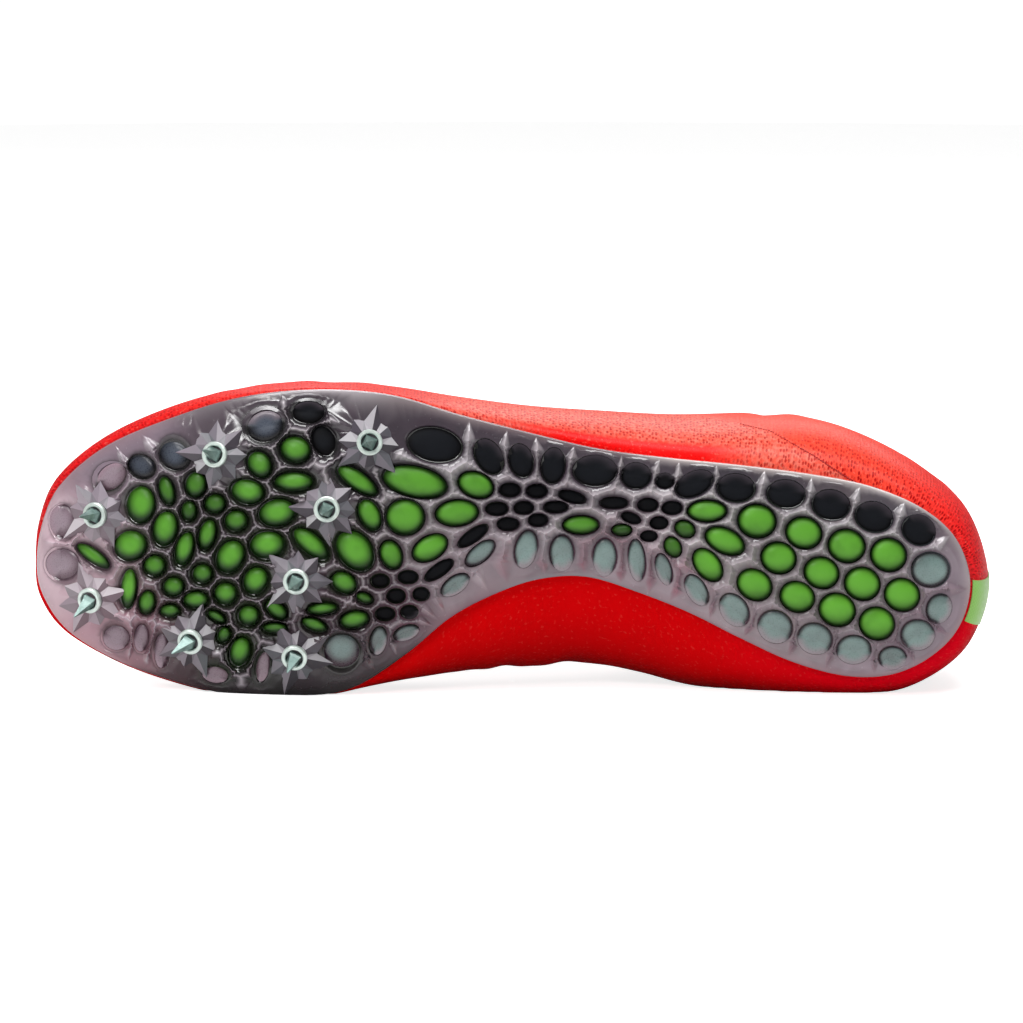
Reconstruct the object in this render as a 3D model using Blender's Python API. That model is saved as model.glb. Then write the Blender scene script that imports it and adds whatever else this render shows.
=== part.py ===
"""Left track spike shoe, lying on its inner side with the sole facing -Y.

Toe at -X, heel at +X, outer side up (+Z), collar towards +Y.
The floor that the shoe lies on is Z = 0. All sizes are in metres.
"""
import math

import bpy
import bmesh
from mathutils import Vector
from mathutils.bvhtree import BVHTree
from mathutils.geometry import delaunay_2d_cdt

# Main sizes of the shoe
SHOE_LENGTH = 0.2805
BALL_WIDTH = 0.0885
WAIST_WIDTH = 0.0395
HEEL_WIDTH = 0.0565
THROAT_HEIGHT = 0.046
INSTEP_HEIGHT = 0.071
ANKLE_HEIGHT = 0.057
HEEL_HEIGHT = 0.067

# Bottom shape
TOE_SPRING = 0.030
ARCH_RISE = 0.004
HEEL_TIP_RISE = 0.003
EDGE_ROLL = 0.0070
EDGE_ROLL_POWER = 2.5
FLOOR_SETTLE = 0.0004

# Plate, cell floor and spikes
PLATE_WALL = 0.0012
RIB_HEIGHT = 0.0021
RIB_WIDTH = 0.0014
LARGE_CELL = 0.0092
FLOOR_FILM = 0.0008
FILM_INSET = 0.0007
PAD_MARGIN = 0.0009
PAD_RISE = 0.0011
BOSS_RADIUS = 0.0040
BOSS_HEIGHT = 0.0028
STAR_RADIUS = 0.0082
STAR_VALLEY = 0.0055
STAR_POINTS = 8
RING_RADIUS = 0.0035
RING_BORE = 0.0023
RING_HEIGHT = 0.0012
PIN_LENGTH = 0.0080
PIN_RADIUS = 0.0018

# Upper, insole, tongue, laces and stripe
UPPER_WALL = 0.0015
UPPER_LAP = 0.0030
INSOLE_THICKNESS = 0.0025
TONGUE_THICKNESS = 0.0022
TONGUE_TUCK = 0.0055
TONGUE_REACH = 0.016
TONGUE_CROWN = 0.0020
TONGUE_NARROWING = 0.30
LACE_WIDTH = 0.0058
LACE_THICKNESS = 0.0012
LACE_REACH = 0.0055
LACE_BOW = 0.0008
LACE_BARS = 6
STRIPE_WIDTH = 0.0125
STRIPE_THICKNESS = 0.0007

# Fits
CLEARANCE = 0.0003
LAYER_CLEARANCE = 0.00045
LACE_CLEARANCE = 0.00066
STRIPE_CLEARANCE = 0.00042
TONGUE_CLEARANCE = 0.0006

# Fineness of the facets
RIM_SIDES = 72
UPPER_COLUMNS = 60
LOWER_ROWS = 3
UPPER_ROWS = 5
RING_SIDES = 8
PIN_SIDES = 4
SHEET_PITCH = 0.011

# The chart is the sole drawn by hand as seen from CHART_DISTANCE away and CHART_RISE above
# its normal. Its steps run from toe to heel and, downwards, from the outer to the inner side.
CHART_CENTRE = 511.5
CHART_TOE = 37
CHART_HEEL = 988
CHART_BALL = 305
CHART_WAIST = 136
CHART_HEEL_WIDTH = 195
CHART_DISTANCE = 1.6
CHART_RISE = math.radians(8)
CHART_SPRING_START = 372
CHART_END_DEPTH = 0.029
STATION_BALL, STATION_WAIST, STATION_HEEL = 290, 570, 850
ARCH_START, ARCH_SPAN = 430, 330
HEEL_TIP_START, HEEL_TIP_SPAN = 900, 75
TOP_THROAT, TOP_INSTEP, TOP_ANKLE, TOP_HEEL = 343, 603, 790, 962
TONGUE_START, TONGUE_TAPER_START, TONGUE_TAPER_SPAN = 322, 590, 60
LACE_FIRST, LACE_LAST = 384, 588
SEAT_REACH = 6

# Throat: station along, its outer edge and its inner edge
THROAT_FRONT = (350, 503, 556)
THROAT_END = (603, 464, 580)

# Keel of the sole: station along, centre line and half width of the rolled section
KEEL = (
    (37, 556, 128), (110, 553, 130), (180, 550, 138), (290, 543, 152), (400, 529, 131),
    (480, 510, 92), (560, 508, 70), (640, 524, 71), (720, 546, 83), (800, 569, 96),
    (870, 581, 97), (975, 582, 98),
)

# Spokes round the shoe, from the toe tip along the outer side to the heel and back on the
# inner side: plate edge (x, y), widest line of the upper (x, y, share of the wall height),
# top edge of the upper (x, y)
SPOKES = (
    (36, 562, 36, 560, 0.46, 343, 530), (43, 520, 39, 521, 0.46, 344, 524),
    (62, 483, 57, 478, 0.42, 346, 518), (107, 446, 104, 438, 0.36, 350, 511),
    (170, 419, 169, 408, 0.32, 357, 504), (240, 398, 240, 389, 0.30, 372, 500),
    (315, 390, 315, 382, 0.30, 395, 496), (390, 395, 390, 387, 0.33, 427, 492),
    (460, 415, 460, 398, 0.36, 466, 486), (530, 433, 530, 407, 0.38, 510, 480),
    (600, 449, 600, 412, 0.40, 558, 474), (670, 458, 670, 416, 0.42, 603, 464),
    (740, 465, 742, 416, 0.46, 660, 438), (810, 474, 812, 420, 0.48, 735, 429),
    (870, 486, 872, 440, 0.46, 808, 434), (922, 508, 930, 474, 0.44, 876, 456),
    (956, 538, 969, 512, 0.42, 930, 492), (971, 580, 988, 571, 0.40, 962, 548),
    (963, 622, 979, 622, 0.34, 950, 598), (938, 653, 955, 658, 0.30, 905, 640),
    (898, 674, 906, 687, 0.28, 850, 662), (850, 677, 850, 694, 0.28, 795, 672),
    (795, 663, 795, 693, 0.29, 738, 668), (740, 638, 738, 690, 0.32, 682, 646),
    (690, 613, 688, 684, 0.34, 634, 606), (640, 593, 638, 671, 0.36, 598, 572),
    (588, 577, 588, 662, 0.37, 560, 566), (540, 579, 540, 664, 0.37, 520, 564),
    (495, 594, 494, 667, 0.36, 480, 562), (450, 618, 448, 672, 0.36, 441, 561),
    (405, 655, 403, 679, 0.34, 407, 560), (350, 689, 350, 687, 0.32, 382, 560),
    (290, 697, 290, 691, 0.30, 366, 557), (230, 695, 230, 688, 0.30, 356, 552),
    (170, 681, 169, 676, 0.32, 350, 547), (112, 659, 110, 654, 0.36, 346, 541),
    (66, 630, 62, 627, 0.42, 344, 536), (42, 595, 39, 593, 0.46, 343, 533),
)
HEEL_SPOKE = 17.35

# Cells of the plate: centre (x, y), long and short width, turn in degrees
GREEN_CELLS = (
    (141, 505, 40, 31, 85), (196, 485, 28, 23, 80), (165, 529, 38, 27, 80),
    (215, 504, 22, 20, 0), (248, 492, 36, 27, -10), (236, 521, 24, 22, 0),
    (277, 513, 40, 30, 10), (130, 546, 34, 31, 20), (93, 556, 40, 15, -35),
    (128, 589, 41, 17, 85), (154, 566, 23, 22, 0), (184, 549, 37, 20, 75),
    (207, 535, 32, 18, 75), (230, 557, 35, 28, 60), (267, 545, 38, 30, 5),
    (311, 544, 44, 21, -40), (173, 587, 22, 20, 0), (202, 574, 21, 20, 0),
    (146, 603, 25, 18, 80), (169, 611, 21, 14, 0), (195, 600, 26, 18, 0),
    (225, 594, 24, 23, 0), (255, 581, 29, 25, 60), (223, 635, 20, 16, 70),
    (248, 616, 22, 21, 0), (239, 652, 30, 21, 75), (276, 610, 26, 16, -40),
    (274, 628, 25, 11, 0), (314, 625, 30, 15, -20), (322, 609, 35, 14, 5),
    (260, 465, 30, 25, -60), (296, 450, 35, 30, -10), (294, 482, 40, 20, 0),
    (358, 481, 50, 20, -35), (415, 482, 65, 31, -12), (476, 485, 36, 25, -20),
    (405, 517, 39, 36, 0), (370, 515, 36, 23, -65), (457, 513, 43, 26, 5),
    (355, 551, 48, 36, -50), (391, 555, 30, 22, -70), (430, 548, 38, 24, 30),
    (344, 583, 38, 29, -30), (354, 620, 30, 18, 10), (364, 598, 24, 15, -20),
    (685, 529, 22, 17, -25), (581, 525, 42, 21, 0), (622, 530, 26, 15, 0),
    (673, 547, 28, 21, -60), (707, 511, 39, 21, 0), (725, 541, 46, 27, -25),
    (708, 565, 46, 30, -52), (757, 521, 38, 33, -10), (804, 533, 38, 33, -15),
    (847, 546, 37, 33, -15), (889, 555, 36, 33, -20), (779, 558, 37, 33, -15),
    (822, 573, 37, 33, -20), (863, 584, 36, 33, -20), (903, 595, 36, 33, -20),
    (755, 585, 38, 32, -30), (798, 597, 37, 32, -20), (838, 610, 37, 33, -20),
    (878, 624, 36, 33, -20),
)
DARK_CELLS = (
    (169, 491, 30, 16, 70), (190, 510, 24, 14, 80), (217, 617, 24, 14, 50),
    (473, 536, 42, 15, 35), (439, 570, 34, 13, 35), (380, 581, 18, 13, 0),
    (408, 577, 20, 13, 0), (396, 596, 18, 14, 0), (421, 594, 16, 13, 0),
    (385, 614, 19, 13, 0), (409, 612, 17, 13, 0), (510, 490, 20, 13, 0),
    (537, 491, 20, 13, 0), (497, 509, 22, 13, 0), (524, 508, 20, 13, 0),
    (508, 524, 22, 13, 0), (538, 520, 20, 13, 0), (556, 507, 24, 11, 0),
    (572, 497, 28, 11, -15), (614, 503, 28, 11, 0), (648, 505, 20, 13, 0),
    (672, 508, 20, 13, 0), (631, 518, 26, 13, -20), (659, 523, 20, 14, 0),
    (649, 536, 19, 12, 0), (266, 427, 36, 29, 0), (309, 413, 34, 23, 0),
    (324, 441, 34, 26, -70), (435, 445, 55, 34, -10), (489, 457, 38, 26, -60),
    (521, 461, 34, 24, -75), (553, 466, 36, 24, 85), (595, 471, 44, 31, 0),
    (636, 476, 30, 26, 0), (665, 481, 18, 15, 0), (694, 484, 40, 24, 25),
    (736, 488, 38, 28, -5), (786, 494, 38, 28, -5), (831, 505, 38, 30, -10),
    (874, 517, 38, 30, -15), (919, 530, 38, 33, -30), (142, 468, 29, 25, -20),
    (176, 456, 31, 28, -30),
)
TEAL_CELLS = (
    (931, 570, 38, 35, 0), (940, 609, 30, 25, 70), (919, 635, 34, 31, 0),
    (894, 658, 31, 25, 0), (855, 650, 35, 29, 0), (816, 639, 36, 31, -20),
    (776, 627, 36, 32, -30), (735, 610, 38, 28, -55), (697, 590, 42, 24, -60),
    (664, 566, 36, 20, -72), (637, 557, 34, 16, -85), (605, 555, 39, 29, 90),
    (562, 551, 40, 32, 90), (526, 547, 32, 24, 75), (480, 553, 42, 20, 40),
    (455, 585, 32, 17, 35), (406, 633, 26, 14, 20), (378, 641, 28, 16, 80),
    (341, 651, 36, 33, 0),
)
SPIKES = (
    (96, 515), (90, 600), (216, 455), (190, 641), (296, 581), (294, 657), (327, 509), (370, 443),
)

# Colour, roughness, metallic
FINISHES = {
    "smoky_plate": ((0.27, 0.24, 0.26), 0.25, 0.1),
    "cell_green": ((0.10, 0.34, 0.05), 0.45, 0.0),
    "red_knit": ((0.72, 0.03, 0.02), 0.75, 0.0),
    "insole_cloth": ((0.10, 0.10, 0.11), 0.85, 0.0),
    "tongue_cloth": ((0.68, 0.05, 0.03), 0.8, 0.0),
    "lace_cord": ((0.78, 0.09, 0.05), 0.7, 0.0),
    "ring_metal": ((0.72, 0.80, 0.78), 0.25, 0.9),
    "pin_metal": ((0.45, 0.55, 0.54), 0.2, 1.0),
    "stripe_green": ((0.29, 0.58, 0.13), 0.5, 0.0),
}

STEP = SHOE_LENGTH / ((CHART_HEEL - CHART_TOE) * (1 + CHART_END_DEPTH / CHART_DISTANCE))
FILM_LIFT = PLATE_WALL + CLEARANCE
LAP_LIFT = FILM_LIFT + FLOOR_FILM + LAYER_CLEARANCE
INSOLE_LIFT = LAP_LIFT + UPPER_WALL + LAYER_CLEARANCE


def clamp(value, low=0.0, high=1.0):
    return min(high, max(low, value))


def ease(share):
    share = clamp(share)
    return share * share * (3 - 2 * share)


def blend(low, high, share):
    return low + (high - low) * share


def hermite(values, share):
    """Cubic through values[1] and values[2], with slopes from their neighbours."""
    before, start, end, after = values
    slope_start = (end - before) / 2
    slope_end = (after - start) / 2
    square = share * share
    cube = square * share
    return ((2 * cube - 3 * square + 1) * start + (cube - 2 * square + share) * slope_start
            + (3 * square - 2 * cube) * end + (cube - square) * slope_end)


def keel_at(x):
    """Centre line and half width of the rolled section at station x, in chart steps."""
    if x <= KEEL[0][0]:
        return KEEL[0][1], KEEL[0][2]
    for first, second in zip(KEEL, KEEL[1:]):
        if x <= second[0]:
            share = ease((x - first[0]) / (second[0] - first[0]))
            return blend(first[1], second[1], share), blend(first[2], second[2], share)
    return KEEL[-1][1], KEEL[-1][2]


def step_across(x):
    """Real length of one chart step across the shoe, from the named width nearest to x."""
    ball = BALL_WIDTH / CHART_BALL
    waist = WAIST_WIDTH / CHART_WAIST
    heel = HEEL_WIDTH / CHART_HEEL_WIDTH
    if x < STATION_WAIST:
        return blend(ball, waist, ease((x - STATION_BALL) / (STATION_WAIST - STATION_BALL)))
    return blend(waist, heel, ease((x - STATION_WAIST) / (STATION_HEEL - STATION_WAIST)))


def sole_depth(x, y):
    """Depth of the plate's base surface: toe spring, arch, heel tip and rolled edges."""
    spring = clamp((CHART_SPRING_START - x) / (CHART_SPRING_START - CHART_TOE), 0, 1.05)
    arch = math.sin(math.pi * clamp((x - ARCH_START) / ARCH_SPAN)) ** 2
    heel_tip = clamp((x - HEEL_TIP_START) / HEEL_TIP_SPAN, 0, 1.1)
    centre, half = keel_at(x)
    across = min(abs(y - centre) / half, 1.3)
    roll = EDGE_ROLL * half / KEEL[3][2] * across ** EDGE_ROLL_POWER
    return TOE_SPRING * spring ** 2 + ARCH_RISE * arch + HEEL_TIP_RISE * heel_tip ** 2 + roll


def place(x, y, depth):
    """Chart point at a depth, in the shoe's own frame."""
    spread = 1 + depth / CHART_DISTANCE
    up = (CHART_CENTRE - y) * step_across(x) * spread / math.cos(CHART_RISE)
    return Vector(((x - CHART_CENTRE) * STEP * spread, depth, up - depth * math.tan(CHART_RISE)))


def on_sole(x, y, lift):
    """Chart point at a lift above the plate's base surface."""
    return place(x, y, sole_depth(x, y) + lift)


BALL_EDGE = (290, 697)
FLOOR = on_sole(*BALL_EDGE, 0).z + FLOOR_SETTLE


def above_floor(point, gap=0.0):
    """The point, or the one above it that keeps a gap to the floor."""
    return Vector((point.x, point.y, max(point.z, FLOOR + gap)))


def top_height(x):
    """Height of the upper's top edge: throat, instep, ankle, back of the heel."""
    if x < TOP_INSTEP:
        share = (x - TOP_THROAT) / (TOP_INSTEP - TOP_THROAT)
        return blend(THROAT_HEIGHT, INSTEP_HEIGHT, share)
    if x < TOP_ANKLE:
        share = ease((x - TOP_INSTEP) / (TOP_ANKLE - TOP_INSTEP))
        return blend(INSTEP_HEIGHT, ANKLE_HEIGHT, share)
    return blend(ANKLE_HEIGHT, HEEL_HEIGHT, ease((x - TOP_ANKLE) / (TOP_HEEL - TOP_ANKLE)))


def spoke_at(turn):
    """The spoke's seven values at a place between the charted spokes."""
    count = len(SPOKES)
    index = math.floor(turn)
    near = [SPOKES[(index + offset) % count] for offset in (-1, 0, 1, 2)]
    return [hermite([row[column] for row in near], turn - index) for column in range(7)]


def turns(count):
    return [len(SPOKES) * index / count for index in range(count)]


def plate_outline(count):
    return [tuple(spoke_at(turn)[:2]) for turn in turns(count)]


def inset(loop, distance):
    """The loop of chart points moved inwards by a distance in chart steps."""
    moved = []
    count = len(loop)
    for index, (x, y) in enumerate(loop):
        before, after = loop[index - 1], loop[(index + 1) % count]
        along = Vector((after[0] - before[0], after[1] - before[1])).normalized()
        moved.append((x - along.y * distance, y + along.x * distance))
    return moved


def ellipse(x, y, long, short, turn, count):
    """Points of an ellipse in the chart, where y runs down."""
    angle = math.radians(turn)
    points = []
    for index in range(count):
        phase = 2 * math.pi * (index + 0.5) / count
        along, across = long / 2 * math.cos(phase), short / 2 * math.sin(phase)
        points.append((x + along * math.cos(angle) - across * math.sin(angle),
                       y - along * math.sin(angle) - across * math.cos(angle)))
    return points


def cell_sides(cell):
    """Small cells are hexagons, large ones octagons."""
    return 6 if cell[2] < LARGE_CELL / STEP else 8


def inside(point, loop):
    x, y = point
    hit = False
    for (ax, ay), (bx, by) in zip(loop, loop[1:] + loop[:1]):
        if (ay > y) != (by > y) and x < (bx - ax) * (y - ay) / (by - ay) + ax:
            hit = not hit
    return hit


def reach_of(loop):
    """Centre and radius of a loop, for quick tests of distance."""
    x = sum(point[0] for point in loop) / len(loop)
    y = sum(point[1] for point in loop) / len(loop)
    return x, y, max(math.hypot(px - x, py - y) for px, py in loop)


def gap_between(first, second):
    return min(math.hypot(ax - bx, ay - by) for ax, ay in first for bx, by in second)


def fitted_cells():
    """Cells, shrunk where a rib between two of them, or beside the rim, would be too thin."""
    least = RIB_WIDTH / STEP
    rounds, shrink = 12, 0.94
    cells = [list(row) for row in GREEN_CELLS + DARK_CELLS + TEAL_CELLS]
    rim = plate_outline(240)
    for _ in range(rounds):
        loops = [ellipse(*cell, 20) for cell in cells]
        tight = set()
        for a, first in enumerate(cells):
            for b in range(a + 1, len(cells)):
                second = cells[b]
                apart = math.hypot(first[0] - second[0], first[1] - second[1])
                if apart < (first[2] + second[2]) / 2 + least:
                    if gap_between(loops[a], loops[b]) < least:
                        tight.update((a, b))
            if gap_between(loops[a], rim) < least:
                tight.add(a)
            for x, y in SPIKES:
                if min(math.hypot(px - x, py - y) for px, py in loops[a]) < BOSS_RADIUS / STEP + least:
                    tight.add(a)
        if not tight:
            break
        for index in tight:
            cells[index][2] *= shrink
            cells[index][3] *= shrink
    return cells


def triangulate(points, edges):
    """Constrained Delaunay triangles of chart points."""
    flat = [Vector(point) for point in points]
    result = delaunay_2d_cdt(flat, edges, [], 0, 1e-5, True)
    spots, _, triangles, sources = result[:4]
    if len(spots) != len(points):
        raise RuntimeError("chart lines cross")
    order = [origin[0] for origin in sources]
    return [[order[corner] for corner in triangle] for triangle in triangles]


def centre_of(points, triangle):
    return (sum(points[corner][0] for corner in triangle) / 3,
            sum(points[corner][1] for corner in triangle) / 3)


def keep_solid(points, triangles, rim, holes):
    """Triangles inside the rim and outside every hole."""
    reaches = [reach_of(hole) for hole in holes]
    kept = []
    for triangle in triangles:
        centre = centre_of(points, triangle)
        if not inside(centre, rim):
            continue
        hit = any(math.hypot(centre[0] - x, centre[1] - y) < radius and inside(centre, hole)
                  for hole, (x, y, radius) in zip(holes, reaches))
        if not hit:
            kept.append(triangle)
    return kept


def loop_edges(start, count):
    return [(start + index, start + (index + 1) % count) for index in range(count)]


def material(name):
    color, roughness, metallic = FINISHES[name]
    made = bpy.data.materials.get(name) or bpy.data.materials.new(name)
    made.use_nodes = True
    shader = made.node_tree.nodes["Principled BSDF"]
    shader.inputs["Base Color"].default_value = (*color, 1.0)
    shader.inputs["Roughness"].default_value = roughness
    shader.inputs["Metallic"].default_value = metallic
    made.diffuse_color = (*color, 1.0)
    return made


def add_piece(name, points, faces, finish, root, smooth=True):
    """One closed body as an object under the shoe's root."""
    mesh = bpy.data.meshes.new(name)
    mesh.from_pydata([tuple(point) for point in points], [], faces)
    shape = bmesh.new()
    shape.from_mesh(mesh)
    bmesh.ops.triangulate(shape, faces=shape.faces[:])
    bmesh.ops.recalc_face_normals(shape, faces=shape.faces[:])
    shape.to_mesh(mesh)
    shape.free()
    mesh.materials.append(material(finish))
    if smooth:
        mesh.shade_smooth()
        mesh.set_sharp_from_angle(angle=math.radians(35))
    piece = bpy.data.objects.new(name, mesh)
    bpy.context.scene.collection.objects.link(piece)
    piece.parent = root
    return piece


def boss_plane(x, y):
    """Centre, slopes and outward normal of the flat seat of a spike."""
    reach = SEAT_REACH
    slope_x = (sole_depth(x + reach, y) - sole_depth(x - reach, y)) / (2 * reach)
    slope_y = (sole_depth(x, y + reach) - sole_depth(x, y - reach)) / (2 * reach)
    depth = sole_depth(x, y) - BOSS_HEIGHT
    centre = place(x, y, depth)
    side = place(x + reach, y, depth + slope_x * reach) - centre
    up = place(x, y - reach, depth - slope_y * reach) - centre
    normal = side.cross(up).normalized()
    if normal.y > 0:
        normal.negate()
    return centre, (slope_x, slope_y), normal


def boss_points(x, y, rim, holes):
    """Seat ring, star valleys and star points of a boss, each with its depth."""
    _, (slope_x, slope_y), _ = boss_plane(x, y)
    base = sole_depth(x, y)
    ring = []
    for index in range(STAR_POINTS):
        angle = 2 * math.pi * (index + 0.5) / STAR_POINTS
        dx, dy = BOSS_RADIUS / STEP * math.cos(angle), BOSS_RADIUS / STEP * math.sin(angle)
        ring.append((x + dx, y + dy, base - BOSS_HEIGHT + slope_x * dx + slope_y * dy))
    star = []
    for index in range(2 * STAR_POINTS):
        tip = index % 2 == 1
        radius = (STAR_RADIUS if tip else STAR_VALLEY) / STEP
        angle = math.pi * index / STAR_POINTS
        px, py = x + radius * math.cos(angle), y + radius * math.sin(angle)
        if inside((px, py), rim) and far_from(holes, px, py):
            rise = RIB_HEIGHT * 0.8 if tip else RIB_HEIGHT * 0.15
            star.append((px, py, sole_depth(px, py) - rise))
    return ring, star


def far_from(loops, x, y):
    """True where a chart point is in no loop and half a rib from each."""
    least = RIB_WIDTH / STEP / 2
    for loop in loops:
        cx, cy, radius = reach_of(loop)
        if math.hypot(x - cx, y - cy) > radius + least:
            continue
        if inside((x, y), loop) or min(math.hypot(x - px, y - py) for px, py in loop) < least:
            return False
    return True


def crosses(a, b, loop):
    """True where the chart segment a-b meets the loop."""
    def side(p, q, r):
        return (q[0] - p[0]) * (r[1] - p[1]) - (q[1] - p[1]) * (r[0] - p[0])
    for c, d in zip(loop, loop[1:] + loop[:1]):
        if side(a, b, c) * side(a, b, d) < 0 and side(c, d, a) * side(c, d, b) < 0:
            return True
    return False


def crest_lines(points, labels, triangles):
    """Ridge points between neighbouring cells, and the lines that join them."""
    necks = {}
    joints = []
    for triangle in triangles:
        owners = [labels[corner] for corner in triangle]
        if len(set(owners)) == 3:
            joints.append((centre_of(points, triangle), owners))
        for a, b in ((0, 1), (1, 2), (2, 0)):
            if owners[a] == owners[b]:
                continue
            first, second = points[triangle[a]], points[triangle[b]]
            width = math.hypot(first[0] - second[0], first[1] - second[1])
            pair = tuple(sorted((owners[a], owners[b])))
            middle = ((first[0] + second[0]) / 2, (first[1] + second[1]) / 2)
            if pair not in necks or width < necks[pair][0]:
                necks[pair] = (width, middle)
    return necks, joints


def add_plate(root, cells, rim):
    """The spike plate: rim, ridged ribs round open cells, and star bosses."""
    holes = [ellipse(*cell, cell_sides(cell)) for cell in cells]
    points, labels, edges = [], [], []
    for label, loop in enumerate([rim] + holes):
        edges += loop_edges(len(points), len(loop))
        points += loop
        labels += [label] * len(loop)
    loops_end = len(points)
    walls = list(edges)
    depth = [sole_depth(x, y) for x, y in points]
    top = keep_solid(points, triangulate(points, edges), rim, holes)

    for x, y in SPIKES:
        ring, star = boss_points(x, y, rim, holes)
        edges += loop_edges(len(points), len(ring))
        for px, py, level in ring + star:
            points.append((px, py))
            depth.append(level)

    necks, joints = crest_lines(points, labels, top)
    crest = {}

    def add_crest(key, spot, share):
        apart = 1.6
        clear = min(math.hypot(spot[0] - x, spot[1] - y) for x, y in SPIKES) > STAR_RADIUS / STEP
        if clear and far_from_points(spot, points, apart):
            crest[key] = len(points)
            points.append(spot)
            depth.append(sole_depth(*spot) - RIB_HEIGHT * share)

    thin, full, wide = 6, 9, 16
    for pair, (width, middle) in necks.items():
        if pair[0] != 0 and thin < width < wide:
            add_crest(pair, middle, clamp(width / full, 0.6, 1.0))
    for number, (spot, owners) in enumerate(joints):
        rim_joint = 0 in owners
        add_crest(("joint", number), spot, 0.5 if rim_joint else 1.0)
    for number, (_, owners) in enumerate(joints):
        key = ("joint", number)
        if key not in crest:
            continue
        for a, b in ((0, 1), (1, 2), (2, 0)):
            pair = tuple(sorted((owners[a], owners[b])))
            if pair in crest:
                ends = points[crest[key]], points[crest[pair]]
                beside = [holes[label - 1] for label in pair if label]
                if not any(crosses(*ends, hole) for hole in beside):
                    edges.append((crest[key], crest[pair]))

    bottom = keep_solid(points, triangulate(points, edges), rim, holes)
    body = [place(x, y, level) for (x, y), level in zip(points, depth)]
    shift = len(body)
    body += [place(*points[index], depth[index] + PLATE_WALL) for index in range(loops_end)]
    body = [above_floor(point) for point in body]
    faces = bottom + [[corner + shift for corner in triangle] for triangle in top]
    faces += [[a, b, b + shift, a + shift] for a, b in walls]
    add_piece("outsole_plate", body, faces, "smoky_plate", root)


def far_from_points(spot, points, least):
    return all(math.hypot(spot[0] - x, spot[1] - y) > least for x, y in points)


def grid_inside(loop, pitch):
    """Staggered chart points inside a loop, at least half a pitch from it."""
    left = min(point[0] for point in loop)
    right = max(point[0] for point in loop)
    low = min(point[1] for point in loop)
    high = max(point[1] for point in loop)
    spots = []
    rows = int((high - low) / pitch) + 1
    for row in range(rows):
        y = low + pitch * (row + 0.5)
        x = left + pitch * (0.5 if row % 2 else 1.0)
        while x < right:
            if inside((x, y), loop) and far_from_points((x, y), loop, pitch * 0.55):
                spots.append((x, y))
            x += pitch
    return spots


def add_film(root, cells, rim):
    """The cell floor: a thin sheet with a low dome behind each green or teal cell."""
    dark_start = len(GREEN_CELLS)
    cells = cells[:dark_start] + cells[dark_start + len(DARK_CELLS):]
    edge = inset(rim, FILM_INSET / STEP)
    margin = PAD_MARGIN / STEP
    pads = []
    for x, y, long, short, turn in cells:
        sides = cell_sides((x, y, long))
        pads.append(ellipse(x, y, long - margin, short - margin, turn, sides))
    points, edges = [], []
    for loop in [edge] + pads:
        edges += loop_edges(len(points), len(loop))
        points += loop
    lift = [FILM_LIFT] * len(points)
    for cell in cells:
        points.append((cell[0], cell[1]))
        lift.append(FILM_LIFT - PAD_RISE)
    under = keep_solid(points, triangulate(points, edges), edge, [])
    body = [on_sole(x, y, height) for (x, y), height in zip(points, lift)]
    shift = len(body)
    spots = edge + grid_inside(edge, SHEET_PITCH / STEP)
    over = keep_solid(spots, triangulate(spots, loop_edges(0, len(edge))), edge, [])
    body += [on_sole(x, y, FILM_LIFT + FLOOR_FILM) for x, y in spots]
    body = [above_floor(point, CLEARANCE) for point in body]
    faces = under + [[corner + shift for corner in triangle] for triangle in over]
    for a, b in loop_edges(0, len(edge)):
        faces.append([a, b, b + shift, a + shift])
    add_piece("cell_floor", body, faces, "cell_green", root)


def add_insole(root, rim):
    """The thin sock liner above the lasting edge of the upper."""
    edge = inset(rim, (UPPER_LAP + 3 * CLEARANCE) / STEP)
    spots = edge + grid_inside(edge, SHEET_PITCH / STEP)
    sheet = keep_solid(spots, triangulate(spots, loop_edges(0, len(edge))), edge, [])
    low = [on_sole(x, y, INSOLE_LIFT) for x, y in spots]
    high = [on_sole(x, y, INSOLE_LIFT + INSOLE_THICKNESS) for x, y in spots]
    shift = len(low)
    faces = sheet + [[corner + shift for corner in triangle] for triangle in sheet]
    for a, b in loop_edges(0, len(edge)):
        faces.append([a, b, b + shift, a + shift])
    add_piece("insole", low + high, faces, "insole_cloth", root)


def wall_line(turn):
    """Outer surface of the upper along one spoke, from its lasting edge to its top edge."""
    plate_x, plate_y, wide_x, wide_y, share, top_x, top_y = spoke_at(turn)
    ahead, behind = spoke_at(turn + 0.2), spoke_at(turn - 0.2)
    along = Vector((ahead[0] - behind[0], ahead[1] - behind[1])).normalized()
    inward = Vector((-along.y, along.x)) / STEP
    lap = (plate_x + inward.x * UPPER_LAP, plate_y + inward.y * UPPER_LAP)
    corner = (plate_x - inward.x * CLEARANCE, plate_y - inward.y * CLEARANCE)
    low = sole_depth(plate_x, plate_y) + LAP_LIFT
    high = top_height(top_x)
    start = place(*corner, low)
    wide = place(wide_x, wide_y, blend(low, high, share))
    end = place(top_x, top_y, high)
    line = [on_sole(*lap, LAP_LIFT), start]
    for row in range(1, LOWER_ROWS + 1):
        phase = math.pi / 2 * row / LOWER_ROWS
        line.append(Vector((blend(start.x, wide.x, math.sin(phase)),
                            blend(start.y, wide.y, 1 - math.cos(phase)),
                            blend(start.z, wide.z, math.sin(phase)))))
    for row in range(1, UPPER_ROWS + 1):
        phase = math.pi / 2 * row / UPPER_ROWS
        line.append(Vector((blend(wide.x, end.x, 1 - math.cos(phase)),
                            blend(wide.y, end.y, math.sin(phase)),
                            blend(wide.z, end.z, 1 - math.cos(phase)))))
    return line


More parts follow.
